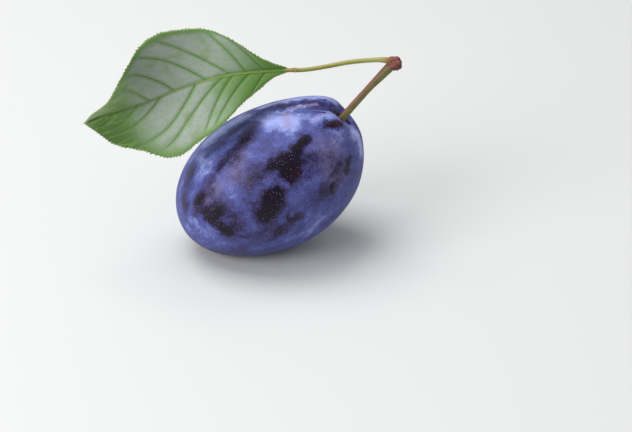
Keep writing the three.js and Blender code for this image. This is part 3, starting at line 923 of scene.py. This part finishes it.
def bloom_group(stroke):
    """Thickness of the wax on the skin, from 0 where it is rubbed off to 1 where it is thickest,
    with painted highlights and painted shade worked in.
    """
    tree, given, result = shader_group("Bloom", ("Place",), ("Amount",), "Thickness")
    place = given["Place"]
    wobble = out(noise(place, 1.6, detail=5.0, roughness=0.65).socket.node, "Color")
    shift = [(axis - 0.5) * WOBBLE for axis in wobble.parts()]
    shifted = vector_field("ADD", place, join_vector(*shift))

    long_axis = fruit_axes()[0]
    drawn_out = stretched(place, long_axis, 2.2)
    clouds = noise(place, 9, detail=2.0) - 0.5
    streaks = noise(drawn_out, 3.0, detail=5.0, roughness=0.62) - 0.5
    mottle = noise(place, 1.3, detail=5.0, roughness=0.7) - 0.5
    grain = noise(place, 0.3, detail=2.0, roughness=0.7) - 0.5

    # On the sides that no stroke reaches, the wax is rubbed off in streaks along the fruit.
    hidden = place.parts()[1].smooth(3.0, 10.0)
    worn = noise(stretched(shifted, long_axis, 2.4), 3.4, detail=2.0)
    worn = worn.smooth(0.54, 0.66) * hidden * 0.8
    rubbed = strokes(stroke, shifted, RUBS, RUB_SOFTNESS).at_least(worn)

    # Painted shade: the bloom is made thinner towards the floor, so the skin is painted darker
    # towards the bottom.
    painted_floor_shade = 1 - place.parts()[2].smooth(0.5, 11.0)
    # Thicker bloom from the strokes, among them painted highlights and painted pale rims.
    thick_and_highlights = strokes(stroke, shifted, THICK_BLOOM_AND_HIGHLIGHTS, BLOOM_SOFTNESS)
    calm = 1 - thick_and_highlights.smooth(0.0, 0.5) * 0.55
    uneven = clouds * 0.8 + streaks * 0.85 + mottle * 0.6 + grain * 0.7
    thickness = given["Amount"] + thick_and_highlights + uneven * calm
    # Thinner bloom from the strokes, some of it painted shade, and the painted shade towards the
    # floor.
    thickness = thickness - strokes(stroke, shifted, THIN_BLOOM_AND_SHADE, BLOOM_SOFTNESS) - painted_floor_shade * 0.32
    thickness = thickness - rubbed * (0.68 + mottle * 0.8 + grain * 0.6)
    feed(thickness.at_least(0.0).at_most(1.2), result)
    return tree


def skin_material(settings, bloom, specks):
    """Dark skin under its bloom, red beside the stalk, with a paler rim at grazing angles, and the
    painted highlights, pale rims and painted shade of the bloom's strokes.
    """
    material, tree, shader = new_material("plum_skin", 0.5)
    place = place_in_mm(tree)
    thickness = use_group(tree, bloom, "Thickness", Place=place, Amount=settings.bloom)
    blush = noise(place, 6, detail=3.0)
    from_stalk = attribute(tree, "from_stalk")
    beside_stalk = 1 - from_stalk.smooth(1.0, 3.4)
    slit = attribute(tree, "across_suture").bell(0.3) * attribute(tree, "faces_suture")
    slit = slit * (1 - from_stalk.smooth(4.5, 7.0))
    stroke = group_once("Soft stroke", stroke_group)
    # Red marks beside the stalk, and a painted shadow along the edge of the groove.
    red_marks_and_shade = strokes(stroke, place, RED_MARKS_AND_GROOVE_SHADE, MARK_SOFTNESS)
    red = (blush.smooth(0.5, 0.75) * 0.22).at_least(beside_stalk * 0.9)
    red = red.at_least(slit).at_least(red_marks_and_shade)

    cover = thickness * (1 - beside_stalk * 0.75) * (1 - slit * 0.7) * (1 - red_marks_and_shade)
    skin = mix(red, settings.skin_colour, settings.red_skin_colour)
    thin = mix(red * 0.4, settings.thin_bloom_colour, settings.red_skin_colour)
    colour = mix(cover.smooth(0.0, 0.32), skin, thin)
    colour = mix(cover.smooth(0.22, 0.66), colour, settings.bloom_colour)
    colour = mix(cover.smooth(0.6, 1.15), colour, settings.thick_bloom_colour)
    pink = strokes(stroke, place, PINK_BLOOM_AND_HIGHLIGHT, BLOOM_SOFTNESS) * (0.4 + blush)
    pink = (pink * cover.smooth(0.1, 0.6)).at_most(1.0)
    colour = mix(pink, colour, settings.pink_bloom_colour)
    dust = speckled(specks, place, 0.55, 0.08, 0.35)
    colour = mix(dust * 0.35, colour, settings.thick_bloom_colour)
    cover_shader(shader, colour, between(0.34, 0.62, cover.smooth(0.1, 0.6)))
    shader.inputs["Specular IOR Level"].default_value = 0.2
    shader.inputs["Sheen Weight"].default_value = 0.08
    shader.inputs["Sheen Roughness"].default_value = 0.45
    shader.inputs["Sheen Tint"].default_value = (*srgb(205, 212, 240), 1)
    wax = noise(place, 0.4, detail=4.0, roughness=0.65)
    peel = noise(place, 1.6, detail=2.0)
    add_bump(shader, wax * 0.35 + peel * 0.65, 0.05 * MM, 0.6)
    return material


def lenticel_material(settings, bloom):
    """Pale pink pores, dulled where wax covers them."""
    material, tree, shader = new_material("plum_lenticels", 0.6)
    place = place_in_mm(tree)
    thickness = use_group(tree, bloom, "Thickness", Place=place, Amount=settings.bloom)
    wax_and_sheen = mix(thickness.smooth(0.5, 1.0), settings.bloom_colour, settings.thick_bloom_colour)
    colour = mix(thickness.smooth(0.2, 0.6), settings.lenticel_colour, wax_and_sheen)
    tint = noise(place, 1.2, detail=2.0)
    colour = mix(tint.smooth(0.45, 0.6) * 0.6, colour, settings.thin_bloom_colour)
    cover_shader(shader, colour)
    return material


def stalk_material(settings, specks):
    """Brown on its sunny side and green on the other, with fine fibres and corky specks."""
    material, tree, shader = new_material("fruit_stalk", 0.55)
    place = place_in_mm(tree)
    along = attribute(tree, "along")
    lit = attribute(tree, "upward") * 0.78 - attribute(tree, "sideward") * 0.62
    patches = noise(place, 1.8, detail=4.0, roughness=0.6)
    brown = lit * 1.2 + (patches - 0.5) * 1.5 + (along - 0.55).bell(0.3) * 0.3 - 0.15
    brown = brown.smooth(-0.25, 0.35)
    colour = mix(brown, settings.stalk_green, settings.stalk_brown)
    direction = (Vector(STALK_ROUTE[-1]) - Vector(STALK_ROUTE[0])).normalized()
    fibre = noise(stretched(place, direction, 9), 0.22, detail=3.0)
    colour = mix(fibre.smooth(0.5, 0.75) * 0.35, colour, srgb(176, 160, 96))
    spots = speckled(specks, place, 0.5, 0.09, 0.5)
    colour = mix(spots * 0.6, colour, srgb(84, 52, 38))
    ends = (1 - along.smooth(0.12, 0.24)) * 0.45 + along.smooth(0.93, 1.0) * 0.6
    colour = mix(ends, colour, srgb(96, 58, 42))
    cover_shader(shader, colour, between(0.48, 0.7, patches))
    add_bump(shader, fibre * 0.6 + patches * 0.4, 0.06 * MM, 0.7)
    return material


def leaf_stalk_material(settings, specks):
    """Yellow-green, with a brown joint at each end."""
    material, tree, shader = new_material("leaf_stalk", 0.45)
    place = place_in_mm(tree)
    along = attribute(tree, "along")
    patches = noise(stretched(place, Vector((1, 0, 0)), 4), 1.4, detail=3.0)
    pale = mix(along.smooth(0.1, 0.7), settings.leaf_stalk_colour, srgb(142, 140, 58))
    colour = mix(patches.smooth(0.42, 0.7) * 0.5, pale, srgb(128, 114, 50))
    groove = attribute(tree, "upward").smooth(0.5, 1.0)
    colour = mix(groove * 0.3, colour, srgb(196, 196, 122))
    joint = (along - 0.02).bell(0.05) + (along - 0.91).bell(0.016) * 0.8
    colour = mix(joint.at_most(1.0), colour, settings.joint_colour)
    spots = speckled(specks, place, 0.6, 0.07, 0.3)
    colour = mix(spots * 0.5, colour, srgb(110, 78, 40))
    cover_shader(shader, colour)
    add_bump(shader, patches, 0.04 * MM, 0.6)
    return material


def bark_material(settings, specks):
    """Reddish-brown bark, dark between its ridges, with a paler torn face."""
    material, tree, shader = new_material("knob_bark", 0.8)
    place = place_in_mm(tree)
    crust = attribute(tree, "crust")
    fine = noise(place, 0.22, detail=4.0, roughness=0.7)
    raised = crust * 0.8 + attribute(tree, "ridge") * 1.1 + (fine - 0.5) * 0.6
    colour = mix(raised.smooth(0.2, 0.55), settings.dark_bark_colour, settings.bark_colour)
    colour = mix(raised.smooth(0.55, 0.85) * 0.7, colour, srgb(168, 122, 104))
    colour = mix(attribute(tree, "torn_face") * 0.45, colour, srgb(150, 108, 88))
    spots = speckled(specks, place, 0.5, 0.08, 0.4)
    colour = mix(spots * 0.6, colour, srgb(186, 156, 130))
    cover_shader(shader, colour)
    add_bump(shader, fine * 0.5 + crust * 0.5, 0.14 * MM, 0.8)
    return material


def side_vein_group():
    """How far a place of the blade is from one side vein, in millimetres."""
    numbers = ("Along", "Share", "Root", "End", "Bend")
    tree, given, result = shader_group("Side vein", (), numbers, "Distance")
    run = given["End"] - given["Root"]
    line = given["Root"] + run * given["Share"] ** given["Bend"]
    slant = (1 + (run * (RIB_LENGTH / USUAL_HALF_WIDTH)) ** 2.0).apply("SQRT")
    feed(((given["Along"] - line) * RIB_LENGTH / slant).apply("ABSOLUTE"), result)
    return tree


def vein_distance(along, share_out, is_upper):
    """How far a place of the blade is from the closest side vein, in millimetres."""
    group = group_once("Side vein", side_vein_group)
    distances = []
    for above, below in zip(UPPER_VEINS, LOWER_VEINS):
        root, end, bend = [between(low, high, is_upper) for low, high in zip(below, above)]
        distances.append(use_group(along.tree, group, "Distance", Along=along, Share=share_out,
                                   Root=root, End=end, Bend=bend))
    return functools.reduce(Field.at_most, distances)


def leaf_net(along, across, reach):
    """The nets of coarse and fine small veins: 1 on a vein and 0 between them."""
    tree = along.tree
    slanted = (along - (across * 0.5).apply("ABSOLUTE") * 0.5) * RIB_LENGTH
    side = reach * across.apply("SIGN")
    wobble = noise(join_vector(slanted, side, 0.0), 1.4, detail=2.0) - 0.5
    lines = []
    for size, width in ((2.1, 0.1), (0.75, 0.16)):
        cells = tree.nodes.new("ShaderNodeTexVoronoi")
        cells.feature = "DISTANCE_TO_EDGE"
        cells.inputs["Scale"].default_value = 1 / size
        spot = join_vector(slanted * 0.7 + wobble * 1.6, side + wobble * 1.2, 0.0)
        feed(spot, cells.inputs["Vector"])
        lines.append(1 - Field(tree, cells.outputs["Distance"]).smooth(0.0, width))
    return lines


def leaf_material(settings, specks):
    """The blade: green with a painted grey sheen between its veins, which is a painted reflection
    of the light above, painted shade towards the base and on the tip's lower half, and paler below.
    """
    material, tree, shader = new_material("leaf", 0.45)
    place = place_in_mm(tree)
    along, v, _ = Field(tree, tree.nodes.new("ShaderNodeTexCoord").outputs["UV"]).parts()
    across = v * 2 - 1
    share_out = across.apply("ABSOLUTE")
    is_upper = across.apply("GREATER_THAN", 0.0)
    reach = attribute(tree, "reach")
    margin = attribute(tree, "margin")
    under = attribute(tree, "under")
    away = vein_distance(along, share_out, is_upper)
    fading = 1 - share_out * 0.62
    ragged = noise(place, 0.35, detail=3.0, roughness=0.7)
    inner = 1 - share_out.smooth(0.84, 0.98)
    core = (1 - ((away + (ragged - 0.5) * 0.16) / fading).smooth(0.04, 0.2)) * inner
    halo = (1 - (away + (ragged - 0.5) * 0.8).smooth(0.1, 0.85)) * inner
    coarse_net, fine_net = leaf_net(along, across, reach)
    clouds = noise(place, 5, detail=3.0)
    fine = noise(place, 0.5, detail=3.0, roughness=0.6)

    # The painted sheen, a painted reflection of the light above, lies between the veins, not along
    # the edge and not near the tip.
    green = mix(clouds.smooth(0.35, 0.65), settings.blade_colour, srgb(102, 142, 66))
    # Painted shade: the green and the sheen are darker towards the base.
    painted_base_shade = 1 - (along + is_upper * 0.12).smooth(0.15, 0.6)
    green = mix(painted_base_shade, green, srgb(82, 120, 46))
    grey = mix(painted_base_shade, settings.sheen_colour, srgb(122, 138, 118))
    wax_and_sheen = (margin + (clouds - 0.5) * 2).smooth(0.2, 2.2)
    wax_and_sheen = wax_and_sheen * (1 - (along + (clouds - 0.5) * 0.25).smooth(0.66, 0.86) * 0.9)
    wax_and_sheen = wax_and_sheen * (along + is_upper * 0.13 + (clouds - 0.5) * 0.2).smooth(0.2, 0.46)
    wax_and_sheen = wax_and_sheen * (1 - halo * 0.6) * (1 - coarse_net * 0.1) * (1 - fine_net * 0.06)
    wax_and_sheen = wax_and_sheen * (0.55 + clouds.smooth(0.3, 0.5) * 0.45) * (0.8 + fine * 0.4)
    colour = mix(wax_and_sheen * 0.95, green, grey)
    colour = mix(coarse_net * inner * 0.08, colour, settings.vein_colour)
    colour = mix(fine_net * 0.05, colour, settings.vein_colour)
    colour = mix(core * 0.85, colour, settings.vein_colour)

    # Near the tip the lower half is painted a darker green, painted shade where it turns away from
    # the light, with a light net.
    painted_tip_shade = (along + share_out * 0.08).smooth(0.74, 0.93) * (1 - is_upper)
    colour = mix(painted_tip_shade * 0.7, colour, srgb(58, 92, 26))
    light_net = coarse_net.at_least(core)
    colour = mix(painted_tip_shade * light_net * 0.55, colour, srgb(134, 164, 84))
    pale_tip = along.smooth(0.62, 0.9) * is_upper * light_net
    pale_tip = pale_tip.at_least(along.smooth(0.82, 0.93) * is_upper)
    colour = mix(pale_tip * 0.45, colour, srgb(186, 200, 162))

    # The midrib is light, with a dark line below it.
    thin = 1.15 - along * 0.65
    midrib = (1 - (reach / thin).smooth(0.14, 0.34))
    shade = (reach / thin - 0.45).bell(0.2) * (1 - is_upper * 0.6) * (1 - along * 0.8)
    colour = mix(shade * 0.8, colour, srgb(46, 78, 34))
    pale = mix(along.smooth(0.55, 0.85), settings.midrib_colour, srgb(120, 146, 86))
    pale = mix(ragged.smooth(0.5, 0.7) * 0.4, pale, srgb(98, 112, 54))
    colour = mix(midrib, colour, pale)
    colour = mix((1 - margin.smooth(0.0, 0.3)) * 0.4, colour, srgb(134, 152, 84))

    lower = mix(coarse_net * 0.5, settings.under_colour, srgb(168, 188, 134))
    lower = mix(1 - reach.smooth(0.3, 0.7), lower, srgb(176, 188, 122))
    colour = mix(under, colour, lower)
    for spacing, size, part in ((5.5, 0.2, 0.35), (2.2, 0.08, 0.3)):
        spots = speckled(specks, place, spacing, size, part)
        colour = mix(spots * 0.7, colour, srgb(122, 88, 52))
    cover_shader(shader, colour, between(0.42, 0.62, fine) + under * 0.12)
    shader.inputs["Specular IOR Level"].default_value = 0.35
    height = 0.6 - core * 0.5 - halo * 0.35 - coarse_net * 0.16 - fine_net * 0.08 + fine * 0.15
    add_bump(shader, height, 0.12 * MM, 0.8)
    return material


def under_vein_material(settings):
    """The side veins where they stand out below the blade."""
    material, tree, shader = new_material("leaf_under_veins", 0.5)
    patches = noise(place_in_mm(tree), 2, detail=3.0)
    colour = mix(patches, srgb(190, 206, 140), settings.under_colour)
    cover_shader(shader, colour)
    return material


class LeafForm:
    """The leaf's blade as a sheet that is folded, waved, bulged and toothed."""

    ROWS_PER_TOOTH = 5
    STEPS_ACROSS = 30
    SEARCH_STEPS = 30
    SLOPE_STEP = 0.01
    SWEEP = 0.2
    ROW_BEND = 1.3
    BASE_FOLD = math.radians(20)
    MID_FOLD = math.radians(6)
    TIP_FOLD = math.radians(32)

    def __init__(self, settings):
        self.rib = Route(RIB_ROUTE)
        self.half_width = settings.half_width / MM
        self.thickness = settings.thickness / MM
        self.teeth = settings.teeth
        self.tooth_height = settings.tooth_height / MM
        self.vein_depth = settings.vein_depth / MM
        self.quilting = settings.quilting / MM

    @staticmethod
    def smooth(value, low, high):
        """0 below low, 1 above high and a smooth step between them."""
        part = min(max((value - low) / (high - low), 0), 1)
        return part * part * (3 - 2 * part)

    @staticmethod
    def bell(distance, width):
        """1 where the distance is 0, falling to nothing at about twice the width."""
        return math.exp(-((distance / width) ** 2))

    @staticmethod
    def profile(marks, place):
        """A smooth curve through (place, value) marks."""
        at = max(i for i in range(len(marks) - 1) if marks[i][0] <= max(place, 0))
        (x0, y0), (x1, y1) = marks[at], marks[at + 1]
        before = marks[max(at - 1, 0)]
        after = marks[min(at + 2, len(marks) - 1)]
        span = x1 - x0
        leave = (y1 - before[1]) / (x1 - before[0]) * span
        arrive = (after[1] - y0) / (after[0] - x0) * span
        return bend(y0, y1, leave, arrive, (place - x0) / span)

    def width(self, edge, is_upper):
        """Half width of the blade, without its teeth."""
        return self.half_width * self.profile(UPPER_EDGE if is_upper else LOWER_EDGE, edge)

    def tooth(self, edge):
        """How far the edge stands out: forward-leaning teeth, no two quite alike."""
        count = edge * self.teeth + 0.3 * math.sin(edge * self.teeth * 0.83)
        bite = count % 1
        size = 0.55 + 0.45 * math.sin(math.floor(count) * 2.4) ** 2
        return size * (bite / 0.65 if bite < 0.65 else (1 - bite) / 0.35)

    def relief(self, along, share_out, reach, is_upper):
        """How far the upper face bulges between its veins and sinks along them."""
        lines = [root + (end - root) * share_out ** bend
                 for root, end, bend in (UPPER_VEINS if is_upper else LOWER_VEINS)]
        on_vein = max(self.bell((along - line) * RIB_LENGTH * 0.75, 0.42) for line in lines)
        marks = [-0.04, *lines, 1.04]
        bulge = 0
        for low, high in zip(marks, marks[1:]):
            if low <= along <= high and high - low > 0.005:
                bulge = math.sin(math.pi * (along - low) / (high - low))
                bulge *= min(1, (high - low) / 0.1)
        lift = (self.quilting * bulge - self.vein_depth * on_vein) * self.smooth(reach, 0, 1.2)
        return lift * (1 - share_out ** 4) - 0.16 * self.bell(reach, 0.32)

    def root(self, edge):
        """Where the row that ends at a place of the edge leaves the midrib."""
        return edge - self.SWEEP * math.sin(math.pi * edge) * self.smooth(edge, 0, 0.35)

    def place(self, along, across):
        """The sheet's point and direction at a share of the midrib."""
        low, high = along, 1.0
        part = abs(across) ** self.ROW_BEND
        for _ in range(self.SEARCH_STEPS):
            edge = (low + high) / 2
            root = self.root(edge)
            if root + (edge - root) * part < along:
                low = edge
            else:
                high = edge
        return self.point(edge, across)[:2]

    def point(self, edge, across):
        """A point of the middle sheet, the direction out of its upper face, and its marks."""
        is_upper = across > 0
        side_sign = math.copysign(1, across)
        share_out = abs(across)
        calm = math.sin(math.pi * edge)
        root = self.root(edge)
        along = min(max(root + (edge - root) * share_out ** self.ROW_BEND, 0), 1)
        turned = self.smooth(along, 0.3, 0.92)
        fold = self.BASE_FOLD + (self.MID_FOLD - self.BASE_FOLD) * self.smooth(along, 0, 0.4)
        fold += (self.TIP_FOLD - fold) * turned
        middle, tangent = self.rib.at(along)
        side = tangent.cross(LEAF_FACING.lerp(TIP_FACING, turned)).normalized()
        over = side.cross(tangent)

        swing = math.tau * 3.7 * edge + (1.2 if is_upper else -0.9)
        outline = 0.3 * calm * share_out ** 3 * math.sin(swing)
        width = self.width(edge, is_upper)
        ahead = self.width(edge + self.SLOPE_STEP, is_upper)
        slope = (ahead - width) / (self.SLOPE_STEP * RIB_LENGTH)
        run = math.hypot(1, slope)
        tooth = self.tooth_height * self.tooth(edge) * self.smooth(share_out, 0.95, 1)
        tooth *= max(calm, 0.05) ** 0.35
        reach = share_out * width + outline + tooth * (1 + 0.5 * slope) / run
        wave = 0.7 * calm * share_out ** 2
        wave *= math.sin(math.tau * 2.6 * along + (0.6 if is_upper else 2.4))
        lift = wave + self.relief(along, share_out, reach, is_upper)
        spot = middle + side * (side_sign * reach * math.cos(fold))
        spot += over * (reach * math.sin(fold) + lift)
        spot += tangent * (tooth * min(max(0.5 - slope, -0.1), 1.4) / run)
        tilt = fold * self.smooth(share_out * width, 0, 3)
        normal = over * math.cos(tilt) - side * (side_sign * math.sin(tilt))
        marks = {"reach": reach, "margin": (1 - share_out) * width}
        return spot, normal, marks, (along, 0.5 + 0.5 * across)


def leaf_mesh(form):
    """The blade as one closed body: an upper and a lower face, joined along the toothed edge."""
    rows = form.teeth * form.ROWS_PER_TOOTH
    steps = form.STEPS_ACROSS
    columns = [(step / steps) ** 1.15 for step in range(1, steps + 1)]
    columns = [-value for value in reversed(columns)] + [0.0] + columns
    width = len(columns)
    upper, lower, marks, spots = [], [], [], []
    for row in range(rows + 1):
        edge = row / rows
        for across in columns:
            spot, normal, mark, where = form.point(edge, across)
            keel = 0.5 * (1 - 0.75 * edge) * form.bell(mark["reach"], 0.5)
            half = form.thickness / 2 * (0.45 + 0.55 * form.smooth(mark["margin"], 0, 0.5))
            upper.append((spot + normal * half) * MM)
            lower.append((spot - normal * (half + keel)) * MM)
            marks.append(mark)
            spots.append(where)
    below = len(upper)
    faces = []
    for row in range(rows):
        for column in range(width - 1):
            a = row * width + column
            b = a + width
            faces.append((a, a + 1, b + 1, b))
            faces.append((below + a, below + b, below + b + 1, below + a + 1))
        near, far = row * width, row * width + width - 1
        faces.append((near, near + width, below + near + width, below + near))
        faces.append((far + width, far, below + far, below + far + width))
    for column in range(width - 1):
        last = rows * width + column
        faces.append((column + 1, column, below + column, below + column + 1))
        faces.append((last, last + 1, below + last + 1, below + last))
    mesh = bpy.data.meshes.new("leaf_blade_fine")
    mesh.from_pydata(upper + lower, [], faces)
    for name in marks[0]:
        layer = mesh.attributes.new(name, "FLOAT", "POINT")
        layer.data.foreach_set("value", [float(mark[name]) for mark in marks] * 2)
    layer = mesh.attributes.new("under", "FLOAT", "POINT")
    layer.data.foreach_set("value", [0.0] * below + [1.0] * below)
    chart = mesh.uv_layers.new(name="blade")
    spots = spots * 2
    for loop in mesh.loops:
        chart.data[loop.index].uv = spots[loop.vertex_index]
    mesh.polygons.foreach_set("use_smooth", [True] * len(mesh.polygons))
    return mesh


def under_vein_routes(form):
    """A path below the blade for each side vein, from the midrib almost to the edge."""
    steps, start, run = 24, 0.02, 0.86
    routes = []
    for side, veins in ((1, UPPER_VEINS), (-1, LOWER_VEINS)):
        for root, end, bend in veins:
            route = []
            for step in range(steps + 1):
                share_out = start + run * step / steps
                along = root + (end - root) * share_out ** bend
                spot, normal = form.place(along, side * share_out)
                route.append(spot - normal * form.thickness * 0.5)
            routes.append(route)
    return routes


def tip_hair_route(form):
    """The fine hair that the midrib runs out into."""
    spot = form.rib.at(0.985)[0]
    end = Vector(RIB_ROUTE[-1])
    return [spot, end, end.lerp(Vector(TIP_HAIR), 0.5) + Vector((0, 0, 0.06)), Vector(TIP_HAIR)]


class PLUM_OT_fruit(bpy.types.Operator):
    """Make the fruit's skin with its bloom"""

    bl_idname = "plum.fruit"
    bl_label = "Fruit"

    def execute(self, context):
        settings = context.scene.plum_fruit
        bloom = group_once("Bloom", bloom_group, group_once("Soft stroke", stroke_group))
        material = skin_material(settings, bloom, group_once("Specks", speck_group))
        names = ("Segments", "Rings", "Half length", "Suture radius", "Back radius", "Side radius",
                 "Groove depth", "Groove width", "Cavity depth", "Cavity radius")
        values = {name: getattr(settings, name.lower().replace(" ", "_")) for name in names}
        skin = grow("fruit_skin", fruit_tree(), {**values, "Material": material})
        place_piece(skin, "plum_skin", "fruit")
        return {"FINISHED"}


class PLUM_OT_lenticels(bpy.types.Operator):
    """Strew the breathing pores over the fruit's skin"""

    bl_idname = "plum.lenticels"
    bl_label = "Lenticels"

    def execute(self, context):
        settings = context.scene.plum_fruit
        skin = bpy.data.objects.get("fruit_skin")
        if not skin:
            raise RuntimeError("make the fruit before its lenticels")
        pores = grow("fruit_lenticels", lenticel_tree(), {
            "Spacing": settings.lenticel_spacing,
            "Radius": settings.lenticel_radius,
            "Seed": LENTICEL_SEED,
            "Material": lenticel_material(settings, bpy.data.node_groups["Bloom"]),
        }, source=skin.data.copy())
        place_piece(pores, "plum_skin", "fruit")
        return {"FINISHED"}


class PLUM_OT_stems(bpy.types.Operator):
    """Make the fruit's stalk and the leaf's stalk"""

    bl_idname = "plum.stems"
    bl_label = "Stems"

    def execute(self, context):
        settings = context.scene.plum_stems
        specks = group_once("Specks", speck_group)
        tree = stem_tree()
        stalk = grow("fruit_stalk_fine", tree, {
            "Sides": 40,
            "Steps": 90,
            "Radius": settings.stalk_radius,
            "Foot radius": settings.stalk_foot_radius,
            "Foot length": 0.14,
            "Head radius": settings.stalk_head_radius,
            "Head from": 0.62,
            "Ribs": 6.0,
            "Rib height": 0.03 * MM,
            "Bump height": 0.07 * MM,
            "Material": stalk_material(settings, specks),
        }, source=path_mesh("stalk_path", [Route(STALK_ROUTE).points]))
        place_piece(stalk, "stalk", "fruit_stalk")
        leaf_stalk = grow("leaf_stalk_fine", tree, {
            "Sides": 36,
            "Steps": 160,
            "Radius": settings.leaf_stalk_radius,
            "Foot radius": settings.leaf_stalk_foot_radius,
            "Foot length": 0.1,
            "Head radius": 0.5 * MM,
            "Head from": 0.3,
            "Ribs": 4.0,
            "Rib height": 0.015 * MM,
            "Bump height": 0.03 * MM,
            "Channel depth": 0.16 * MM,
            "Gland height": settings.gland_height,
            "Gland place": 0.89,
            "Gland length": 0.02,
            "Material": leaf_stalk_material(settings, specks),
        }, source=path_mesh("leaf_stalk_path", [Route(LEAF_STALK_ROUTE).points]))
        place_piece(leaf_stalk, "leaf_stalk", "leaf_stalk")
        return {"FINISHED"}


class PLUM_OT_knob(bpy.types.Operator):
    """Make the woody knob that both stems grow from"""

    bl_idname = "plum.knob"
    bl_label = "Knob"

    def execute(self, context):
        settings = context.scene.plum_stems
        knob = grow("spur_knob_fine", knob_tree(), {
            "Segments": 110,
            "Half length": KNOB_HALF_SIZES[0] * MM,
            "Half depth": KNOB_HALF_SIZES[1] * MM,
            "Half height": KNOB_HALF_SIZES[2] * MM,
            "Ridge": 0.09,
            "Bark": 0.26 * MM,
            "Material": bark_material(settings, group_once("Specks", speck_group)),
        })
        place_piece(knob, "knob_bark", "spur_knob")
        return {"FINISHED"}


class PLUM_OT_leaf(bpy.types.Operator):
    """Make the leaf's blade, the veins below it and the hair at its tip"""

    bl_idname = "plum.leaf"
    bl_label = "Leaf"

    def execute(self, context):
        settings = context.scene.plum_leaf
        form = LeafForm(settings)
        mesh = leaf_mesh(form)
        mesh.materials.append(leaf_material(settings, group_once("Specks", speck_group)))
        place_piece(add_object("leaf_blade_fine", mesh), "leaf", "leaf_blade")
        tree = stem_tree()
        thin = {"Sides": 8, "Steps": 28, "Foot length": 0.1, "Head from": 0.0,
                "Material": under_vein_material(settings)}
        veins = grow("leaf_under_veins", tree, {
            **thin,
            "Radius": settings.vein_radius,
            "Foot radius": settings.vein_radius * 1.1,
            "Head radius": 0.05 * MM,
        }, source=path_mesh("vein_paths", under_vein_routes(form)))
        place_piece(veins, "leaf", "leaf_blade")
        hair = grow("leaf_tip_hair", tree, {
            **thin,
            "Radius": 0.16 * MM,
            "Foot radius": 0.2 * MM,
            "Head radius": 0.04 * MM,
        }, source=path_mesh("hair_path", [tip_hair_route(form)]))
        place_piece(hair, "leaf", "leaf_blade")
        return {"FINISHED"}


def soft_light(name, place, size, power, colour=(1, 1, 1)):
    """A square area light that looks at the fruit."""
    forget(name)
    light = bpy.data.lights.new(name, "AREA")
    light.size = size
    light.energy = power
    light.color = colour
    lamp = add_object(name, light)
    lamp.location = place
    lamp.rotation_euler = (Vector(LIGHT_AIM) - Vector(place)).to_track_quat("-Z", "Y").to_euler()


class PLUM_OT_stage(bpy.types.Operator):
    """Set the camera, the lights and the plain pale floor"""

    bl_idname = "plum.stage"
    bl_label = "Stage"

    def execute(self, context):
        settings = context.scene.plum_stage
        target = Vector(settings.target)
        back = Vector((0, -math.cos(settings.elevation), math.sin(settings.elevation)))
        camera = bpy.data.cameras.new("photo_camera")
        camera.lens = settings.focal_length
        camera.sensor_width = SENSOR_WIDTH
        camera.clip_start = 0.01
        camera.clip_end = 20
        eye = add_object("photo_camera", camera)
        eye.location = target + back * settings.distance
        eye.rotation_euler = (-back).to_track_quat("-Z", "Y").to_euler()
        context.scene.camera = eye

        half = settings.floor_size / 2
        plane = bpy.data.meshes.new("floor")
        corners = [(-half, -half), (half, -half), (half, half), (-half, half)]
        plane.from_pydata([(x, y, FLOOR_LEVEL) for x, y in corners], [], [(0, 1, 2, 3)])
        material, tree, shader = new_material("floor", 0.7)
        cloud = noise(place_in_mm(tree), 300, detail=1.0)
        pale = tuple(settings.floor_colour)
        dim = tuple(part * 0.96 for part in pale)
        feed(mix(cloud, pale, dim), shader.inputs["Base Color"])
        plane.materials.append(material)
        add_object("floor", plane)

        world = context.scene.world or bpy.data.worlds.new("studio")
        context.scene.world = world
        world.use_nodes = True
        sky = next(node for node in world.node_tree.nodes if node.type == "BACKGROUND")
        sky.inputs["Color"].default_value = (0.96, 0.98, 1, 1)
        sky.inputs["Strength"].default_value = settings.sky_strength
        soft_light("top_light", place=(-0.3, 0.15, 0.9), size=0.7, power=settings.key_power)
        soft_light("left_light", place=(-0.6, -0.45, 0.4), size=0.5, power=settings.rim_power,
                   colour=(0.97, 0.98, 1))
        context.scene.view_settings.view_transform = "Standard"
        return {"FINISHED"}


class PLUM_PT_parts(bpy.types.Panel):
    """The plum's parts, in the order in which they are made"""

    bl_idname = "PLUM_PT_parts"
    bl_label = "Plum"
    bl_space_type = "VIEW_3D"
    bl_region_type = "UI"
    bl_category = "Plum"

    def draw(self, context):
        for operator in OPERATORS:
            self.layout.operator(operator.bl_idname)


SETTINGS = {
    "plum_fruit": FruitSettings,
    "plum_stems": StemSettings,
    "plum_leaf": LeafSettings,
    "plum_stage": StageSettings,
}
OPERATORS = (
    PLUM_OT_stage, PLUM_OT_fruit, PLUM_OT_lenticels, PLUM_OT_stems, PLUM_OT_knob, PLUM_OT_leaf,
)


def register():
    """Registers the settings, the operators and the panel."""
    for name, group in SETTINGS.items():
        bpy.utils.register_class(group)
        setattr(bpy.types.Scene, name, PointerProperty(type=group))
    for operator in OPERATORS:
        bpy.utils.register_class(operator)
    bpy.utils.register_class(PLUM_PT_parts)


def unregister():
    """Takes them all away again."""
    bpy.utils.unregister_class(PLUM_PT_parts)
    for operator in reversed(OPERATORS):
        bpy.utils.unregister_class(operator)
    for name, group in SETTINGS.items():
        delattr(bpy.types.Scene, name)
        bpy.utils.unregister_class(group)


def main():
    """Makes every part in order."""
    register()
    bpy.ops.plum.stage()
    bpy.ops.plum.fruit()
    bpy.ops.plum.lenticels()
    bpy.ops.plum.stems()
    bpy.ops.plum.knob()
    bpy.ops.plum.leaf()


if __name__ == "__main__":
    main()
